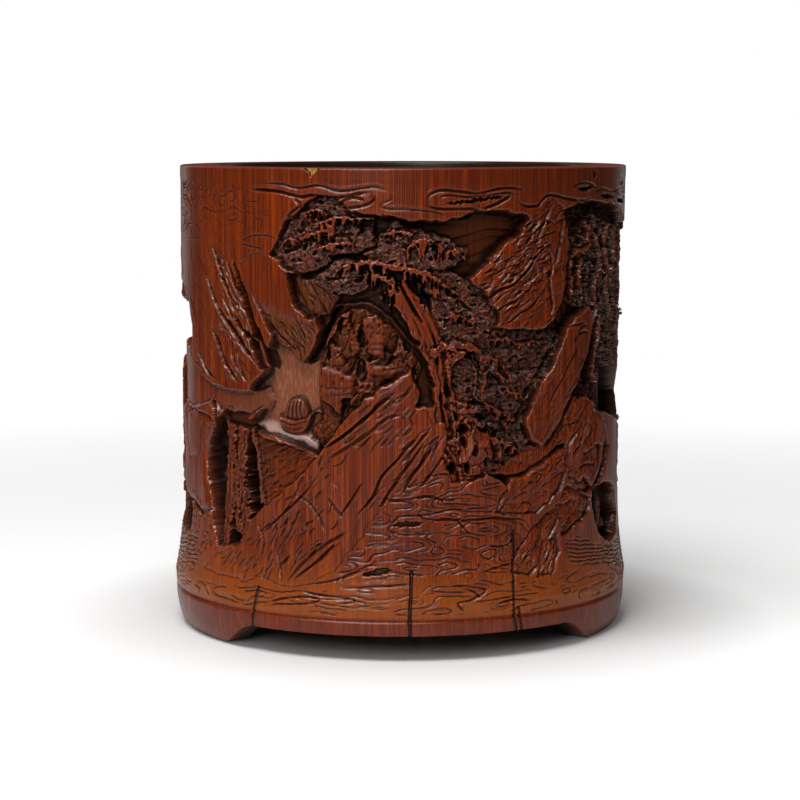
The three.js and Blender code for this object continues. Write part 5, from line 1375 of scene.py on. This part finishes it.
# A solid strip from its four-cornered sections, in order round each
def closedStrip(name, sections, material):
    points = np.concatenate(sections)
    faces = [(3, 2, 1, 0)]
    for first in range(0, len(points) - 4, 4):
        faces += [(first + k, first + (k + 1) % 4, first + 4 + (k + 1) % 4, first + 4 + k) for k in range(4)]
    last = len(points) - 4
    faces.append((last, last + 1, last + 2, last + 3))
    mesh = bpy.data.meshes.new(name)
    mesh.from_pydata([tuple(p) for p in points], [], faces)
    mesh.validate()
    return addObject(name, mesh, material)


# How deep the relief is at a place, before the cracks and chips are cut into it
def depthAt(s, z):
    column = int(round(s / sStep)) % sheet["columns"]
    return float(np.interp(z, outerZ[:, column], uncut[:, column]))


print("cutting the needles")
buildNeedles()

print("filling the cracks and chips")
fillDepth = 2.8
for name, crack in cracks.items():
    path = smoothPath(crack["path"], 10)
    sections = []
    for s, z in path:
        half = crack["width"] / 2
        relief = turnedRadius(np.array(z)) - depthAt(s, z)
        back, face = relief - fillDepth, relief - crack["sink"]
        sections.append(placeOnWall(np.array([s - half, s + half, s + half, s - half]), np.full(4, z),
                                    np.array([back, back, face, face])))
    strip = closedStrip(name + "_visual", sections, putty if name.endswith("left") else darkPutty)
    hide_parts(name)
    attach(strip, "root")

for name, material in (("floor_disc", floorWood), ("floor_seal", bead), ("rim_chip_fill", gold),
                       ("rim_knot_fill", darkPutty)):
    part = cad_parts[name]
    part.data.materials.clear()
    part.data.materials.append(material)

print("lighting")
floorHalf = 1.2
corners = [(a * floorHalf, b * floorHalf, 0) for a, b in ((-1, -1), (1, -1), (1, 1), (-1, 1))]
floorMesh = bpy.data.meshes.new("studioFloor")
floorMesh.from_pydata(corners, [], [(0, 1, 2, 3)])

# Pale paper sweep, a little lit for the camera so that it reads white, and clear further out
studio, tree = newMaterial("studioPaperMatt")
paper = add(tree, "ShaderNodeBsdfDiffuse", {0: colour("#E8E8E8")})[0]
place = add(tree, "ShaderNodeTexCoord")["Object"]
away = add(tree, "ShaderNodeVectorMath", {"operation": "LENGTH"}, {0: place})["Value"]
# Painted light for the camera only: no glow within 66 mm of the axis, so the shadow under the pot stays dark,
# full glow from 130 mm
glowPower = add(tree, "ShaderNodeMapRange", {1: 0.066, 2: 0.13, 4: 0.42}, {0: away})[0]
glow = add(tree, "ShaderNodeEmission", {0: (1, 1, 1, 1)}, {1: glowPower})[0]
seen = add(tree, "ShaderNodeLightPath")["Is Camera Ray"]
unlit = add(tree, "ShaderNodeEmission", {1: 0.0})[0]
extra = add(tree, "ShaderNodeMixShader", (), {0: seen, 1: unlit, 2: glow})[0]
lit = add(tree, "ShaderNodeAddShader", (), {0: paper, 1: extra})[0]
fade = add(tree, "ShaderNodeMapRange", {1: 0.22, 2: 0.55}, {0: away})[0]
clear = add(tree, "ShaderNodeBsdfTransparent")[0]
whole = add(tree, "ShaderNodeMixShader", (), {0: fade, 1: lit, 2: clear})[0]
add(tree, "ShaderNodeOutputMaterial", (), {0: whole})
floor = addObject("studio_floor", floorMesh, studio)

# The camera sees a white room, and the object is lit by a much dimmer and warmer one
world = bpy.context.scene.world or bpy.data.worlds.new("studio")
bpy.context.scene.world = world
tree = newTree(world)
seen = add(tree, "ShaderNodeLightPath")["Is Camera Ray"]
white = add(tree, "ShaderNodeBackground", {0: (1, 1, 1, 1), 1: 1.0})[0]
room = add(tree, "ShaderNodeBackground", {0: (1, 0.93, 0.86, 1), 1: 0.075})[0]
whole = add(tree, "ShaderNodeMixShader", (), {0: seen, 1: room, 2: white})[0]
add(tree, "ShaderNodeOutputWorld", (), {0: whole})

lamps = {   # all aimed at the middle of the pot
    "overheadBox": {"place": (-0.16, -0.3, 0.75), "size": (0.5, 0.35), "power": 5.1},
    "frontFill": {"place": (-0.3, -1.05, 0.5), "size": (0.4, 0.4), "power": 3.2},
    "leftStrip": {"place": (-0.5, 0.85, 0.3), "size": (0.1, 0.8), "power": 0.35},
    "rightStrip": {"place": (0.5, 0.85, 0.3), "size": (0.1, 0.8), "power": 0.25},
}
for name, lamp in lamps.items():
    data = bpy.data.lights.new(name, "AREA")
    data.shape = "RECTANGLE"
    data.size, data.size_y = lamp["size"]
    data.energy = lamp["power"]
    light = bpy.data.objects.new(name, data)
    light.location = lamp["place"]
    light.rotation_euler = (Vector((0, 0, 0.08)) - light.location).to_track_quat("-Z", "Y").to_euler()
    bpy.context.scene.collection.objects.link(light)

view = {"place": (0.0, -0.8, 0.1672), "pitch": -6.65, "lens": 106.2, "sensor": 36.0}
cameraData = bpy.data.cameras.new("photoCamera")
cameraData.lens, cameraData.sensor_width = view["lens"], view["sensor"]
camera = bpy.data.objects.new("photoCamera", cameraData)
camera.location = view["place"]
camera.rotation_euler = (math.radians(90 + view["pitch"]), 0, 0)
bpy.context.scene.collection.objects.link(camera)
bpy.context.scene.camera = camera
bpy.context.scene.view_settings.view_transform = "Standard"

print("done")
